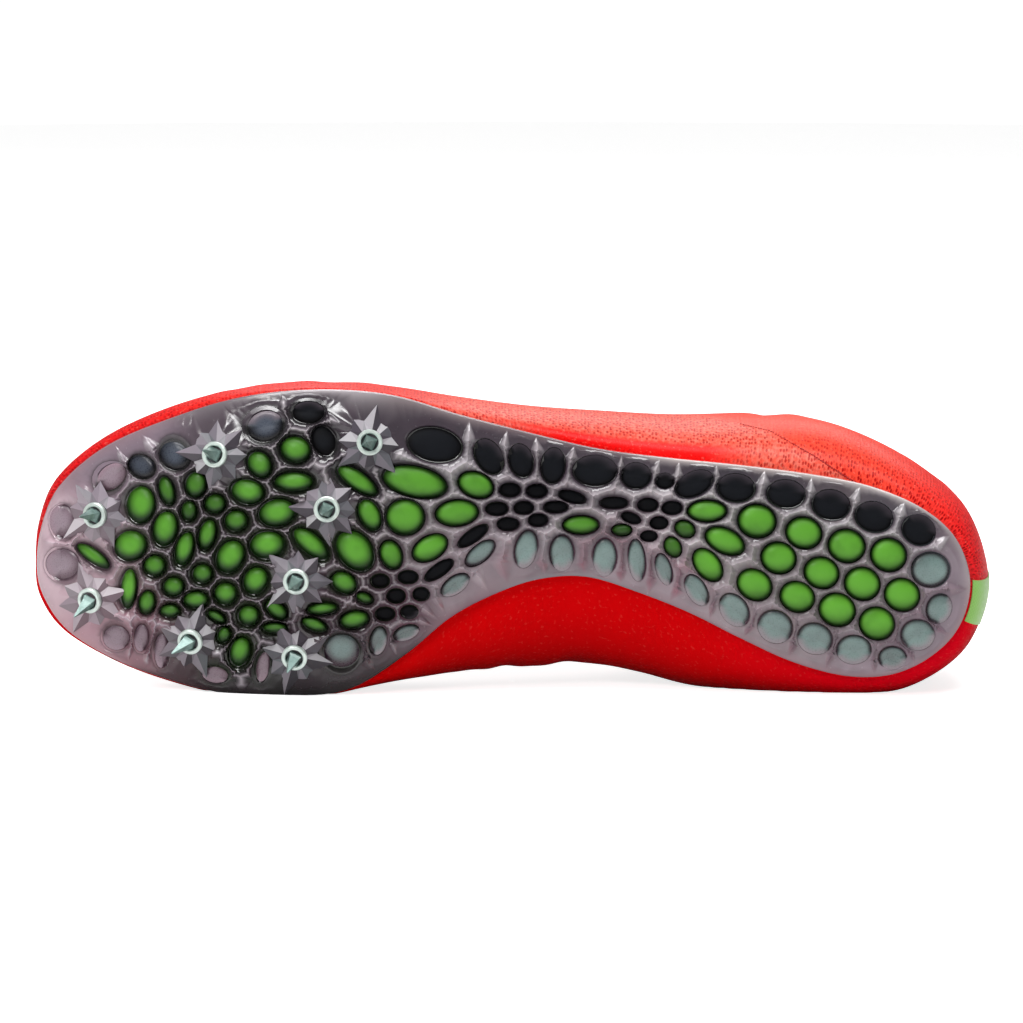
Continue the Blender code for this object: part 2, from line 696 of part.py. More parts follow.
def surface_normals(grid, closed=True):
    """Outward unit normals of a grid of lines, each a list of points."""
    count = len(grid)
    normals = []
    for index, line in enumerate(grid):
        before = grid[index - 1] if closed or index else line
        after = grid[(index + 1) % count] if closed or index + 1 < count else line
        column = []
        for row in range(len(line)):
            across = after[row] - before[row]
            lower = line[max(row - 1, 0)]
            upper = line[min(row + 1, len(line) - 1)]
            column.append(across.cross(upper - lower).normalized())
        normals.append(column)
    return normals


def add_upper(root):
    """The hollow knitted upper, open at the collar, at the throat and underneath."""
    columns = UPPER_COLUMNS
    outer = [[above_floor(point) for point in wall_line(turn)] for turn in turns(columns)]
    normals = surface_normals(outer)
    inner = []
    for line, column in zip(outer, normals):
        inner.append([above_floor(point - normal * UPPER_WALL, UPPER_WALL)
                      for point, normal in zip(line, column)])
    rows = len(outer[0])
    body = [point for line in outer for point in line] + [point for line in inner for point in line]
    shift = columns * rows
    faces = []
    for column in range(columns):
        here, there = column * rows, (column + 1) % columns * rows
        for row in range(rows - 1):
            faces.append([here + row, there + row, there + row + 1, here + row + 1])
            faces.append([shift + corner for corner in faces[-1][::-1]])
        for row in (0, rows - 1):
            faces.append([here + row, there + row, there + row + shift, here + row + shift])
    add_piece("upper", body, faces, "red_knit", root)
    return BVHTree.FromPolygons(body, faces)


def skin_above(skin, point):
    """Depth of the upper's outer surface over a point, or None over the throat."""
    hit = skin.ray_cast(Vector((point.x, 2 * INSTEP_HEIGHT, point.z)), Vector((0, -1, 0)))
    return hit[0].y if hit[0] is not None and hit[0].y > THROAT_HEIGHT / 2 else None


def skin_below(skin, point, start):
    """Depth of the upper's inner surface over a point inside the shoe, or None."""
    hit = skin.ray_cast(Vector((point.x, start, point.z)), Vector((0, 1, 0)))
    return hit[0].y if hit[0] is not None else None


def sheet_body(low, high):
    """Closed body between two equal grids of points."""
    columns, rows = len(low), len(low[0])
    body = [point for line in low for point in line] + [point for line in high for point in line]
    shift = columns * rows
    faces = []
    for column in range(columns - 1):
        here, there = column * rows, (column + 1) * rows
        for row in range(rows - 1):
            quad = [here + row, there + row, there + row + 1, here + row + 1]
            faces.append(quad)
            faces.append([corner + shift for corner in quad[::-1]])
        for row in (0, rows - 1):
            faces.append([here + row, there + row, there + row + shift, here + row + shift])
    for column in (0, columns - 1):
        start = column * rows
        for row in range(rows - 1):
            a, b = start + row, start + row + 1
            faces.append([a, b, b + shift, a + shift])
    return body, faces


def throat_at(x):
    """Outer and inner edge of the throat and its height at station x of the chart."""
    share = (x - THROAT_FRONT[0]) / (THROAT_END[0] - THROAT_FRONT[0])
    held = clamp(share, 0, 1.25)
    outer_y = blend(THROAT_FRONT[1], THROAT_END[1], held)
    inner_y = blend(THROAT_FRONT[2], THROAT_END[2], held)
    return outer_y, inner_y, blend(THROAT_HEIGHT, INSTEP_HEIGHT, share)


def add_tongue(root, skin):
    """The flap under the laces, tucked under both sides of the throat."""
    start, end = TONGUE_START, THROAT_END[0] + TONGUE_REACH / STEP
    low, high = [], []
    stations, places = 10, 8
    patch = SEAT_REACH
    near = ((0, 0), (patch, 0), (-patch, 0), (0, patch), (0, -patch))
    for station in range(stations + 1):
        x = blend(start, end, station / stations)
        outer_y, inner_y, height = throat_at(x)
        half_gap = (inner_y - outer_y) / 2
        taper = TONGUE_NARROWING * ease((x - TONGUE_TAPER_START) / TONGUE_TAPER_SPAN)
        half = (half_gap + TONGUE_TUCK / STEP) * (1 - taper)
        middle = (inner_y + outer_y) / 2
        line_low, line_high = [], []
        for spot in range(places + 1):
            share = -1 + 2 * spot / places
            crown = TONGUE_CROWN * ((half_gap / half) ** 2 - share ** 2)
            depth = height - UPPER_WALL - 3 * CLEARANCE + crown
            y = middle + share * half
            for dx, dy in near:
                ceiling = skin_below(skin, place(x + dx, y + dy, depth), INSTEP_HEIGHT / 3)
                if ceiling is not None:
                    depth = min(depth, ceiling - TONGUE_CLEARANCE)
            line_high.append(place(x, y, depth))
            line_low.append(place(x, y, depth - TONGUE_THICKNESS))
        low.append(line_low)
        high.append(line_high)
    add_piece("tongue", *sheet_body(low, high), "tongue_cloth", root)


def seat_near(skin, x, y, height):
    """Highest depth of the upper under a small patch of lace, or None over the gap."""
    reach = LACE_WIDTH / STEP / 3
    near = ((0, 0), (reach, 0), (-reach, 0), (0, reach), (0, -reach))
    seats = [skin_above(skin, place(x + dx, y + dy, height)) for dx, dy in near]
    found = [seat for seat in seats if seat is not None]
    return max(found) if found else None


def lace_line(skin, x, outer_y, inner_y, height, places):
    """Underside of a lace bar along one of its edges: on the upper, bowed over the gap."""
    reach = LACE_REACH / STEP
    spots = [blend(outer_y - reach, inner_y + reach, index / places) for index in range(places + 1)]
    seats = [seat_near(skin, x, y, height) for y in spots]
    held = [index for index, seat in enumerate(seats) if seat is not None]
    line = []
    for index, y in enumerate(spots):
        seat = seats[index]
        if seat is None:
            left = max(other for other in held if other < index)
            right = min(other for other in held if other > index)
            share = (index - left) / (right - left)
            seat = blend(seats[left], seats[right], share) + LACE_BOW * math.sin(math.pi * share)
        line.append((y, seat + LACE_CLEARANCE))
    return line


def add_laces(root, skin):
    """Flat lace bars across the throat, clear of the tongue and the upper."""
    places = 8
    for bar in range(LACE_BARS):
        x_middle = blend(LACE_FIRST, LACE_LAST, bar / (LACE_BARS - 1))
        outer_y, inner_y, height = throat_at(x_middle)
        low, high = [], []
        for side in (-0.5, 0.5):
            x = x_middle + side * LACE_WIDTH / STEP
            line = lace_line(skin, x, outer_y, inner_y, height, places)
            low.append([place(x, y, depth) for y, depth in line])
            high.append([place(x, y, depth + LACE_THICKNESS) for y, depth in line])
        add_piece(f"lace_bar_{bar + 1}", *sheet_body(low, high), "lace_cord", root)


def add_stripe(root):
    """The green band up the back of the heel, laid on the upper's own surface."""
    reach = 0.8
    columns = 5
    lines = []
    for index in range(-columns, columns + 1):
        lines.append(wall_line(HEEL_SPOKE + reach * index / columns))
    middle = lines[columns]
    low, high = [], []
    for side in (-0.5, -0.25, 0.0, 0.25, 0.5):
        line_low, line_high = [], []
        for row in range(2, len(middle)):
            spine = [line[row] for line in lines]
            normals = surface_normals([line[row - 1:row + 2] for line in lines], closed=False)
            lengths = [0.0]
            for a, b in zip(spine, spine[1:]):
                lengths.append(lengths[-1] + (b - a).length)
            target = lengths[columns] + side * STRIPE_WIDTH
            spot = max(index for index, length in enumerate(lengths[:-1]) if length <= max(target, 0))
            share = (target - lengths[spot]) / (lengths[spot + 1] - lengths[spot])
            point = spine[spot].lerp(spine[spot + 1], share)
            normal = normals[spot][1].lerp(normals[spot + 1][1], share).normalized()
            line_low.append(point + normal * STRIPE_CLEARANCE)
            line_high.append(point + normal * (STRIPE_CLEARANCE + STRIPE_THICKNESS))
        low.append(line_low)
        high.append(line_high)
    add_piece("heel_stripe", *sheet_body(low, high), "stripe_green", root)


def turned(centre, normal, profile, sides, start=0.0):
    """Rings of points round an axis; each profile row is a radius and a height."""
    side = normal.orthogonal().normalized()
    up = normal.cross(side)
    rings = []
    for radius, height in profile:
        ring = []
        for index in range(sides):
            angle = start + 2 * math.pi * index / sides
            ring.append(centre + normal * height
                        + (side * math.cos(angle) + up * math.sin(angle)) * radius)
        rings.append(ring)
    return rings


def add_spikes(root):
    """Eight seat rings and eight faceted pins, each square to its boss."""
    profile = (
        (RING_BORE, CLEARANCE), (RING_RADIUS, CLEARANCE),
        (RING_RADIUS * 0.94, CLEARANCE + RING_HEIGHT), (RING_BORE, CLEARANCE + RING_HEIGHT),
    )
    for number, (x, y) in enumerate(SPIKES, 1):
        centre, _, normal = boss_plane(x, y)
        rings = turned(centre, normal, profile, RING_SIDES)
        points = [point for ring in rings for point in ring]
        faces = []
        for level in range(4):
            here, there = level * RING_SIDES, (level + 1) % 4 * RING_SIDES
            for index in range(RING_SIDES):
                after = (index + 1) % RING_SIDES
                faces.append([here + index, here + after, there + after, there + index])
        add_piece(f"spike_ring_{number}", points, faces, "ring_metal", root)
        foot, waist = turned(centre, normal, ((PIN_RADIUS, CLEARANCE),
                                              (PIN_RADIUS, CLEARANCE + RING_HEIGHT)), PIN_SIDES)
        tip = centre + normal * (CLEARANCE + PIN_LENGTH)
        points = foot + waist + [tip]
        faces = [list(range(PIN_SIDES))]
        for index in range(PIN_SIDES):
            after = (index + 1) % PIN_SIDES
            faces.append([index, after, PIN_SIDES + after, PIN_SIDES + index])
            faces.append([PIN_SIDES + index, PIN_SIDES + after, 2 * PIN_SIDES])
        add_piece(f"spike_pin_{number}", points, faces, "pin_metal", root, smooth=False)


def settle(root):
    """Move the shoe so that it lies on Z = 0 with its box centred on the origin."""
    corners = [vertex.co for piece in root.children for vertex in piece.data.vertices]
    low = [min(corner[axis] for corner in corners) for axis in range(3)]
    high = [max(corner[axis] for corner in corners) for axis in range(3)]
    root.location = (-(low[0] + high[0]) / 2, -(low[1] + high[1]) / 2, -low[2])


def main():
    for item in list(bpy.data.objects):
        bpy.data.objects.remove(item, do_unlink=True)
    root = bpy.data.objects.new("shoe", None)
    bpy.context.scene.collection.objects.link(root)
    cells = fitted_cells()
    rim = plate_outline(RIM_SIDES)
    add_plate(root, cells, rim)
    add_film(root, cells, rim)
    skin = add_upper(root)
    add_insole(root, rim)
    add_tongue(root, skin)
    add_laces(root, skin)
    add_stripe(root)
    add_spikes(root)
    settle(root)


main()
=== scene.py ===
import math

import bmesh
import bpy
import numpy as np
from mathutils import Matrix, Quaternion, Vector
from mathutils.bvhtree import BVHTree
from mathutils.geometry import delaunay_2d_cdt


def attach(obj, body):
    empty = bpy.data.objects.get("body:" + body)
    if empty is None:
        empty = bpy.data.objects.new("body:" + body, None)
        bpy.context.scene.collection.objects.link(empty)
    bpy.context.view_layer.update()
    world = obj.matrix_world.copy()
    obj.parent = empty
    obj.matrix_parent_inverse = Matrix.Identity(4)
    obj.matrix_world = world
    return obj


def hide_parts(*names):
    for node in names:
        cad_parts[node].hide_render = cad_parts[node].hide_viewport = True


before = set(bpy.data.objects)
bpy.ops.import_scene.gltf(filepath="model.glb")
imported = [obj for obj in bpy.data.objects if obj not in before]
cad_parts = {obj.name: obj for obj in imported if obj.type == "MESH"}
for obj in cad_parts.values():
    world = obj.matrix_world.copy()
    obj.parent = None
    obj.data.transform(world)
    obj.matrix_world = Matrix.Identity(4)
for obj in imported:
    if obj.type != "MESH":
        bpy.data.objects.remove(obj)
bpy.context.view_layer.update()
print("frame loaded, nodes:", len(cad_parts))

# The shoe's chart: stations run from toe to heel, rows from the outer to the inner side
chart = {
    "centre": 511.5, "toe": 37, "heel": 988, "ball": 305, "waist": 136, "heelWidth": 195,
    "distance": 1.6, "rise": math.radians(8), "springStart": 372, "endDepth": 0.029,
    "stations": (290, 570, 850), "arch": (430, 330), "heelTip": (900, 75),
}
shoe = {
    "length": 0.2805, "ballWidth": 0.0885, "waistWidth": 0.0395, "heelWidth": 0.0565,
    "throatHeight": 0.046, "instepHeight": 0.071, "ankleHeight": 0.057, "heelHeight": 0.067,
    "toeSpring": 0.030, "archRise": 0.004, "heelTipRise": 0.003, "edgeRoll": 0.0070,
    "lapLift": 0.00275, "upperWall": 0.0015, "upperLap": 0.0030, "clearance": 0.0003,
}
topStations = {"throat": 343, "instep": 603, "ankle": 790, "heel": 962}
lieOn = Vector((-0.000339, -0.0330555, 0.0555302))  # the chart's centre, in the frame
step = shoe["length"] / ((chart["heel"] - chart["toe"]) * (1 + chart["endDepth"] / chart["distance"]))

# Keel of the sole: station, centre row and half width of the rolled section
keel = np.array((
    (37, 556, 128), (110, 553, 130), (180, 550, 138), (290, 543, 152), (400, 529, 131), (480, 510, 92),
    (560, 508, 70), (640, 524, 71), (720, 546, 83), (800, 569, 96), (870, 581, 97), (975, 582, 98),
), float)
ballHalf = keel[3, 2]

# Spokes round the shoe from the toe along the outer side: plate edge, widest line of the
# upper with its share of the wall, and top edge of the upper
spokes = np.array((
    (36, 562, 36, 560, 0.46, 343, 530), (43, 520, 39, 521, 0.46, 344, 524),
    (62, 483, 57, 478, 0.42, 346, 518), (107, 446, 104, 438, 0.36, 350, 511),
    (170, 419, 169, 408, 0.32, 357, 504), (240, 398, 240, 389, 0.30, 372, 500),
    (315, 390, 315, 382, 0.30, 395, 496), (390, 395, 390, 387, 0.33, 427, 492),
    (460, 415, 460, 398, 0.36, 466, 486), (530, 433, 530, 407, 0.38, 510, 480),
    (600, 449, 600, 412, 0.40, 558, 474), (670, 458, 670, 416, 0.42, 603, 464),
    (740, 465, 742, 416, 0.46, 660, 438), (810, 474, 812, 420, 0.48, 735, 429),
    (870, 486, 872, 440, 0.46, 808, 434), (922, 508, 930, 474, 0.44, 876, 456),
    (956, 538, 969, 512, 0.42, 930, 492), (971, 580, 988, 571, 0.40, 962, 548),
    (963, 622, 979, 622, 0.34, 950, 598), (938, 653, 955, 658, 0.30, 905, 640),
    (898, 674, 906, 687, 0.28, 850, 662), (850, 677, 850, 694, 0.28, 795, 672),
    (795, 663, 795, 693, 0.29, 738, 668), (740, 638, 738, 690, 0.32, 682, 646),
    (690, 613, 688, 684, 0.34, 634, 606), (640, 593, 638, 671, 0.36, 598, 572),
    (588, 577, 588, 662, 0.37, 560, 566), (540, 579, 540, 664, 0.37, 520, 564),
    (495, 594, 494, 667, 0.36, 480, 562), (450, 618, 448, 672, 0.36, 441, 561),
    (405, 655, 403, 679, 0.34, 407, 560), (350, 689, 350, 687, 0.32, 382, 560),
    (290, 697, 290, 691, 0.30, 366, 557), (230, 695, 230, 688, 0.30, 356, 552),
    (170, 681, 169, 676, 0.32, 350, 547), (112, 659, 110, 654, 0.36, 346, 541),
    (66, 630, 62, 627, 0.42, 344, 536), (42, 595, 39, 593, 0.46, 343, 533),
), float)

# Cells of the plate: centre, long and short width, turn in degrees
greenCells = (
    (141, 505, 40, 31, 85), (196, 485, 28, 23, 80), (165, 529, 38, 27, 80), (215, 504, 22, 20, 0),
    (248, 492, 36, 27, -10), (236, 521, 24, 22, 0), (277, 513, 40, 30, 10), (130, 546, 34, 31, 20),
    (93, 556, 40, 15, -35), (128, 589, 41, 17, 85), (154, 566, 23, 22, 0), (184, 549, 37, 20, 75),
    (207, 535, 32, 18, 75), (230, 557, 35, 28, 60), (267, 545, 38, 30, 5), (311, 544, 44, 21, -40),
    (173, 587, 22, 20, 0), (202, 574, 21, 20, 0), (146, 603, 25, 18, 80), (169, 611, 21, 14, 0),
    (195, 600, 26, 18, 0), (225, 594, 24, 23, 0), (255, 581, 29, 25, 60), (223, 635, 20, 16, 70),
    (248, 616, 22, 21, 0), (239, 652, 30, 21, 75), (276, 610, 26, 16, -40), (274, 628, 25, 11, 0),
    (314, 625, 30, 15, -20), (322, 609, 35, 14, 5), (260, 465, 30, 25, -60), (296, 450, 35, 30, -10),
    (294, 482, 40, 20, 0), (358, 481, 50, 20, -35), (415, 482, 65, 31, -12), (476, 485, 36, 25, -20),
    (405, 517, 39, 36, 0), (370, 515, 36, 23, -65), (457, 513, 43, 26, 5), (355, 551, 48, 36, -50),
    (391, 555, 30, 22, -70), (430, 548, 38, 24, 30), (344, 583, 38, 29, -30), (354, 620, 30, 18, 10),
    (364, 598, 24, 15, -20), (685, 529, 22, 17, -25), (581, 525, 42, 21, 0), (622, 530, 26, 15, 0),
    (673, 547, 28, 21, -60), (707, 511, 39, 21, 0), (725, 541, 46, 27, -25), (708, 565, 46, 30, -52),
    (757, 521, 38, 33, -10), (804, 533, 38, 33, -15), (847, 546, 37, 33, -15), (889, 555, 36, 33, -20),
    (779, 558, 37, 33, -15), (822, 573, 37, 33, -20), (863, 584, 36, 33, -20), (903, 595, 36, 33, -20),
    (755, 585, 38, 32, -30), (798, 597, 37, 32, -20), (838, 610, 37, 33, -20), (878, 624, 36, 33, -20),
    (167, 491, 30, 16, 105), (189, 511, 22, 17, 90), (216, 617, 24, 12, -30),
)
darkCells = (
    (473, 536, 42, 15, 35), (439, 570, 34, 13, 35), (380, 581, 18, 13, 0), (408, 577, 20, 13, 0),
    (396, 596, 18, 14, 0), (421, 594, 16, 13, 0), (385, 614, 19, 13, 0), (409, 612, 17, 13, 0),
    (510, 490, 20, 13, 0), (537, 491, 20, 13, 0), (497, 509, 22, 13, 0), (524, 508, 20, 13, 0),
    (508, 524, 22, 13, 0), (538, 520, 20, 13, 0), (556, 507, 24, 11, 0), (572, 497, 28, 11, -15),
    (614, 503, 28, 11, 0), (648, 505, 20, 13, 0), (672, 508, 20, 13, 0), (631, 518, 26, 13, -20),
    (659, 523, 20, 14, 0), (649, 536, 19, 12, 0), (309, 413, 34, 23, 0), (324, 441, 34, 26, -70),
    (435, 445, 55, 34, -10), (489, 457, 38, 26, -60), (521, 461, 34, 24, -75), (553, 466, 36, 24, 85),
    (595, 471, 44, 31, 0), (636, 476, 30, 26, 0), (665, 481, 18, 15, 0), (694, 484, 40, 24, 25),
    (736, 488, 38, 28, -5), (786, 494, 38, 28, -5), (831, 505, 38, 30, -10), (874, 517, 38, 30, -15),
    (919, 530, 38, 33, -30),
)
slateCells = ((142, 467, 29, 24, -20), (175, 456, 31, 28, -30), (266, 427, 36, 30, 20))
tealCells = (
    (931, 570, 38, 35, 0), (940, 609, 30, 25, 70), (919, 635, 34, 31, 0), (894, 658, 31, 25, 0),
    (855, 650, 35, 29, 0), (816, 639, 36, 31, -20), (776, 627, 36, 32, -30), (735, 610, 38, 28, -55),
    (697, 590, 42, 24, -60), (664, 569, 42, 20, -74), (637, 560, 42, 17, -85), (605, 557, 46, 29, 90),
    (562, 553, 46, 31, 90), (526, 549, 38, 22, 78), (480, 553, 42, 20, 40), (455, 585, 32, 17, 35),
    (406, 633, 26, 14, 20), (378, 641, 28, 16, 80), (341, 651, 36, 33, 0),
)
# Faint round pads of the toe and the inner forefoot
mauveCells = (
    (62, 521, 25, 32, 0), (62, 564, 33, 30, 0), (112, 477, 34, 24, 40), (115, 638, 26, 24, 0),
    (140, 638, 27, 14, 85), (160, 651, 34, 13, 88), (262, 667, 30, 13, 80), (214, 675, 26, 16, -8),
)
# Spike seats with the turn of their star in degrees, and the lean of each pin in the chart
spikes = (
    (96, 515, 12, -3, 0), (90, 600, 30, -7, 12), (216, 455, 5, -3, -2), (190, 641, 20, -12, 5),
    (296, 581, 0, -3, 3), (294, 657, 14, -4, 6), (327, 509, 0, -2, 3), (370, 443, 8, -2, 2),
)


def easeOf(share):
    share = np.clip(share, 0, 1)
    return share * share * (3 - 2 * share)


def keelAt(x):
    index = np.clip(np.searchsorted(keel[:, 0], x) - 1, 0, len(keel) - 2)
    first, second = keel[index], keel[index + 1]
    share = easeOf((x - first[..., 0]) / (second[..., 0] - first[..., 0]))
    centre = first[..., 1] + (second[..., 1] - first[..., 1]) * share
    half = first[..., 2] + (second[..., 2] - first[..., 2]) * share
    return centre, half


def stepAcross(x):
    ballAt, waistAt, heelAt = chart["stations"]
    ball = shoe["ballWidth"] / chart["ball"]
    waist = shoe["waistWidth"] / chart["waist"]
    heel = shoe["heelWidth"] / chart["heelWidth"]
    front = ball + (waist - ball) * easeOf((x - ballAt) / (waistAt - ballAt))
    back = waist + (heel - waist) * easeOf((x - waistAt) / (heelAt - waistAt))
    return np.where(x < waistAt, front, back)


def soleDepth(x, y):
    spring = np.clip((chart["springStart"] - x) / (chart["springStart"] - chart["toe"]), 0, 1.05)
    arch = np.sin(math.pi * np.clip((x - chart["arch"][0]) / chart["arch"][1], 0, 1)) ** 2
    heelTip = np.clip((x - chart["heelTip"][0]) / chart["heelTip"][1], 0, 1.1)
    centre, half = keelAt(x)
    across = np.minimum(np.abs(y - centre) / half, 1.3)
    roll = shoe["edgeRoll"] * half / ballHalf * across ** 2.5
    return (shoe["toeSpring"] * spring ** 2 + shoe["archRise"] * arch
            + shoe["heelTipRise"] * heelTip ** 2 + roll)


# World points of chart points at a depth behind the sole's front plane
def place(x, y, depth):
    x, y, depth = (np.asarray(value, float) for value in (x, y, depth))
    spread = 1 + depth / chart["distance"]
    up = (chart["centre"] - y) * stepAcross(x) * spread / math.cos(chart["rise"])
    points = np.stack(((x - chart["centre"]) * step * spread, depth + 0 * x,
                       up - depth * math.tan(chart["rise"])), -1)
    return points + np.array(lieOn)


def onSole(x, y, lift):
    return place(x, y, soleDepth(x, y) + lift)


# Chart place of world points, for colours that follow the plate
def chartOf(points):
    depth = points[:, 1] - lieOn.y
    spread = 1 + depth / chart["distance"]
    x = (points[:, 0] - lieOn.x) / step / spread + chart["centre"]
    up = points[:, 2] - lieOn.z + depth * math.tan(chart["rise"])
    return x, chart["centre"] - up * math.cos(chart["rise"]) / stepAcross(x) / spread


# The spoke's seven values at places between the charted spokes
def spokeAt(turn):
    turn = np.asarray(turn, float)
    index = np.floor(turn).astype(int)
    share = (turn - index)[..., None]
    before, start, end, after = (spokes[(index + offset) % len(spokes)] for offset in (-1, 0, 1, 2))
    slopeStart, slopeEnd = (end - before) / 2, (after - start) / 2
    square, cube = share ** 2, share ** 3
    return ((2 * cube - 3 * square + 1) * start + (cube - 2 * square + share) * slopeStart
            + (3 * square - 2 * cube) * end + (cube - square) * slopeEnd)


def topHeight(x):
    throat, instep, ankle, heel = topStations.values()
    throatHigh, instepHigh, ankleHigh, heelHigh = (
        shoe[name + "Height"] for name in ("throat", "instep", "ankle", "heel"))
    front = throatHigh + (instepHigh - throatHigh) * (x - throat) / (instep - throat)
    middle = instepHigh + (ankleHigh - instepHigh) * easeOf((x - instep) / (ankle - instep))
    back = ankleHigh + (heelHigh - ankleHigh) * easeOf((x - ankle) / (heel - ankle))
    return np.where(x < instep, front, np.where(x < ankle, middle, back))


# Outer surface of the upper: share -1 lasting edge, 0 plate edge, 1 widest line, 2 top edge
def wallGrid(turn, shares):
    row = spokeAt(turn)
    along = spokeAt(turn + 0.2)[:, :2] - spokeAt(turn - 0.2)[:, :2]
    along /= np.linalg.norm(along, axis=1)[:, None]
    inward = np.stack((-along[:, 1], along[:, 0]), -1) / step
    edge = row[:, :2]
    low = soleDepth(*edge.T) + shoe["lapLift"]
    high = topHeight(row[:, 5])
    start = place(*(edge - inward * shoe["clearance"]).T, low)
    wide = place(row[:, 2], row[:, 3], low + (high - low) * row[:, 4])
    end = place(row[:, 5], row[:, 6], high)
    lap = onSole(*(edge + inward * shoe["upperLap"]).T, shoe["lapLift"])
    rows = []
    for share in shares:
        if share < 0:
            rows.append(start + (lap - start) * -share)
            continue
        above = share > 1
        angle = math.pi / 2 * (share - 1 if above else share)
        rise, run = math.sin(angle), 1 - math.cos(angle)
        if above:
            rows.append(wide + (end - wide) * np.array((run, rise, run)))
        else:
            rows.append(start + (wide - start) * np.array((rise, run, rise)))
    return np.stack(rows, 1)


def gridNormals(grid, closed=True):
    across = np.roll(grid, -1, 0) - np.roll(grid, 1, 0)
    if not closed:
        across[0], across[-1] = grid[1] - grid[0], grid[-1] - grid[-2]
    along = np.empty_like(grid)
    along[:, 1:-1] = grid[:, 2:] - grid[:, :-2]
    along[:, 0], along[:, -1] = grid[:, 1] - grid[:, 0], grid[:, -1] - grid[:, -2]
    normal = np.cross(across, along)
    return normal / (np.linalg.norm(normal, axis=2)[..., None] + 1e-12)


# Quads of a grid whose points run row by row inside each column
def gridFaces(columns, rows, closed=True, start=0):
    faces = []
    for column in range(columns if closed else columns - 1):
        here, there = start + column * rows, start + (column + 1) % columns * rows
        for row in range(rows - 1):
            faces.append((here + row, there + row, there + row + 1, here + row + 1))
    return faces


# Quads between neighbouring rings of points; closed joins the last ring to the first
def ringFaces(rings, sides, closed=True):
    faces = []
    for ring in range(rings if closed else rings - 1):
        here, there = ring * sides, (ring + 1) % rings * sides
        for i in range(sides):
            ahead = (i + 1) % sides
            faces.append((here + i, here + ahead, there + ahead, there + i))
    return faces


# Joins parts, each with its points, faces and marks, into one
def joinParts(parts):
    points, faces, marks = [], [], []
    for partPoints, partFaces, partMarks in parts:
        shift = len(points)
        points += list(partPoints)
        faces += [tuple(shift + corner for corner in face) for face in partFaces]
        marks += list(partMarks)
    return np.array(points), faces, np.array(marks)


# Nothing goes below the floor that the shoe lies on
def aboveFloor(grid, least=0.0):
    grid[..., 2] = np.maximum(grid[..., 2], least)
    return grid


def linkObject(name, data):
    made = bpy.data.objects.new(name, data)
    bpy.context.scene.collection.objects.link(made)
    return made


# An object that rides with the shoe
def addPiece(name, mesh):
    piece = linkObject(name, mesh)
    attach(piece, "root")
    return piece


# A piece from points and faces; uv and marks hold one value for each point
def makePiece(name, points, faces, material, slotName, uv=None, marks=None, smooth=True, angle=None):
    mesh = bpy.data.meshes.new(name)
    mesh.from_pydata(np.asarray(points).tolist(), [], faces)
    mesh.materials.append(material)
    if uv is not None:
        corners = np.empty(len(mesh.loops), np.int32)
        mesh.loops.foreach_get("vertex_index", corners)
        layer = mesh.uv_layers.new(name="clothMap")
        layer.data.foreach_set("uv", np.asarray(uv, np.float32)[corners].ravel())
    for markName, values in (marks or {}).items():
        values = np.asarray(values, np.float32)
        kind, label = ("FLOAT_COLOR", "color") if values.ndim == 2 else ("FLOAT", "value")
        mark = mesh.attributes.new(markName, kind, "POINT")
        mark.data.foreach_set(label, values.ravel())
    if smooth:
        mesh.shade_smooth()
        if angle is not None:
            mesh.set_sharp_from_angle(angle=math.radians(angle))
    mesh.update()
    return addPiece(name, mesh)


# Shader helpers
def addNode(tree, kind, inputs=None, **settings):
    made = tree.nodes.new(kind)
    for key, value in settings.items():
        setattr(made, key, value)
    for key, value in (inputs or {}).items():
        if isinstance(value, bpy.types.NodeSocket):
            tree.links.new(value, made.inputs[key])
        else:
            made.inputs[key].default_value = value
    return made


def calc(tree, operation, first, second=0.0, third=0.0):
    return addNode(tree, "ShaderNodeMath", {0: first, 1: second, 2: third}, operation=operation).outputs[0]


def times(tree, first, second):
    return calc(tree, "MULTIPLY", first, second)


def mixColour(tree, share, first, second):
    return addNode(tree, "ShaderNodeMix", {0: share, 6: first, 7: second}, data_type="RGBA").outputs[2]


# A colour ramp from a list of position and colour
def rampOf(tree, value, stops):
    made = addNode(tree, "ShaderNodeValToRGB", {0: value})
    ramp = made.color_ramp
    while len(ramp.elements) < len(stops):
        ramp.elements.new(0.5)
    for element, (position, colour) in zip(ramp.elements, stops):
        element.position = position
        element.color = rgb(*colour)
    return made.outputs[0]


def rangeOf(tree, value, low, high, toLow=0.0, toHigh=1.0):
    return addNode(tree, "ShaderNodeMapRange", {0: value, 1: low, 2: high, 3: toLow, 4: toHigh},
                   interpolation_type="SMOOTHSTEP").outputs[0]


def markOf(tree, name, output="Color"):
    return addNode(tree, "ShaderNodeAttribute", attribute_name=name).outputs[output]


def channelsOf(tree, name):
    return addNode(tree, "ShaderNodeSeparateColor", {0: markOf(tree, name)}).outputs


# How far a surface faces up, from -1 to 1
def upwardOf(tree):
    normal = addNode(tree, "ShaderNodeNewGeometry").outputs["Normal"]
    return addNode(tree, "ShaderNodeSeparateXYZ", {0: normal}).outputs[2]


def clothMapOf(tree):
    return addNode(tree, "ShaderNodeUVMap", uv_map="clothMap").outputs[0]


def noiseOf(tree, inputs):
    return addNode(tree, "ShaderNodeTexNoise", inputs).outputs[0]


# A Principled material whose fixed values are set on the shader's own sockets
def startMaterial(name, settings):
    made = bpy.data.materials.new(name)
    made.use_nodes = True
    shader = made.node_tree.nodes["Principled BSDF"]
    for key, value in settings.items():
        shader.inputs[key].default_value = value
    return made, made.node_tree, shader


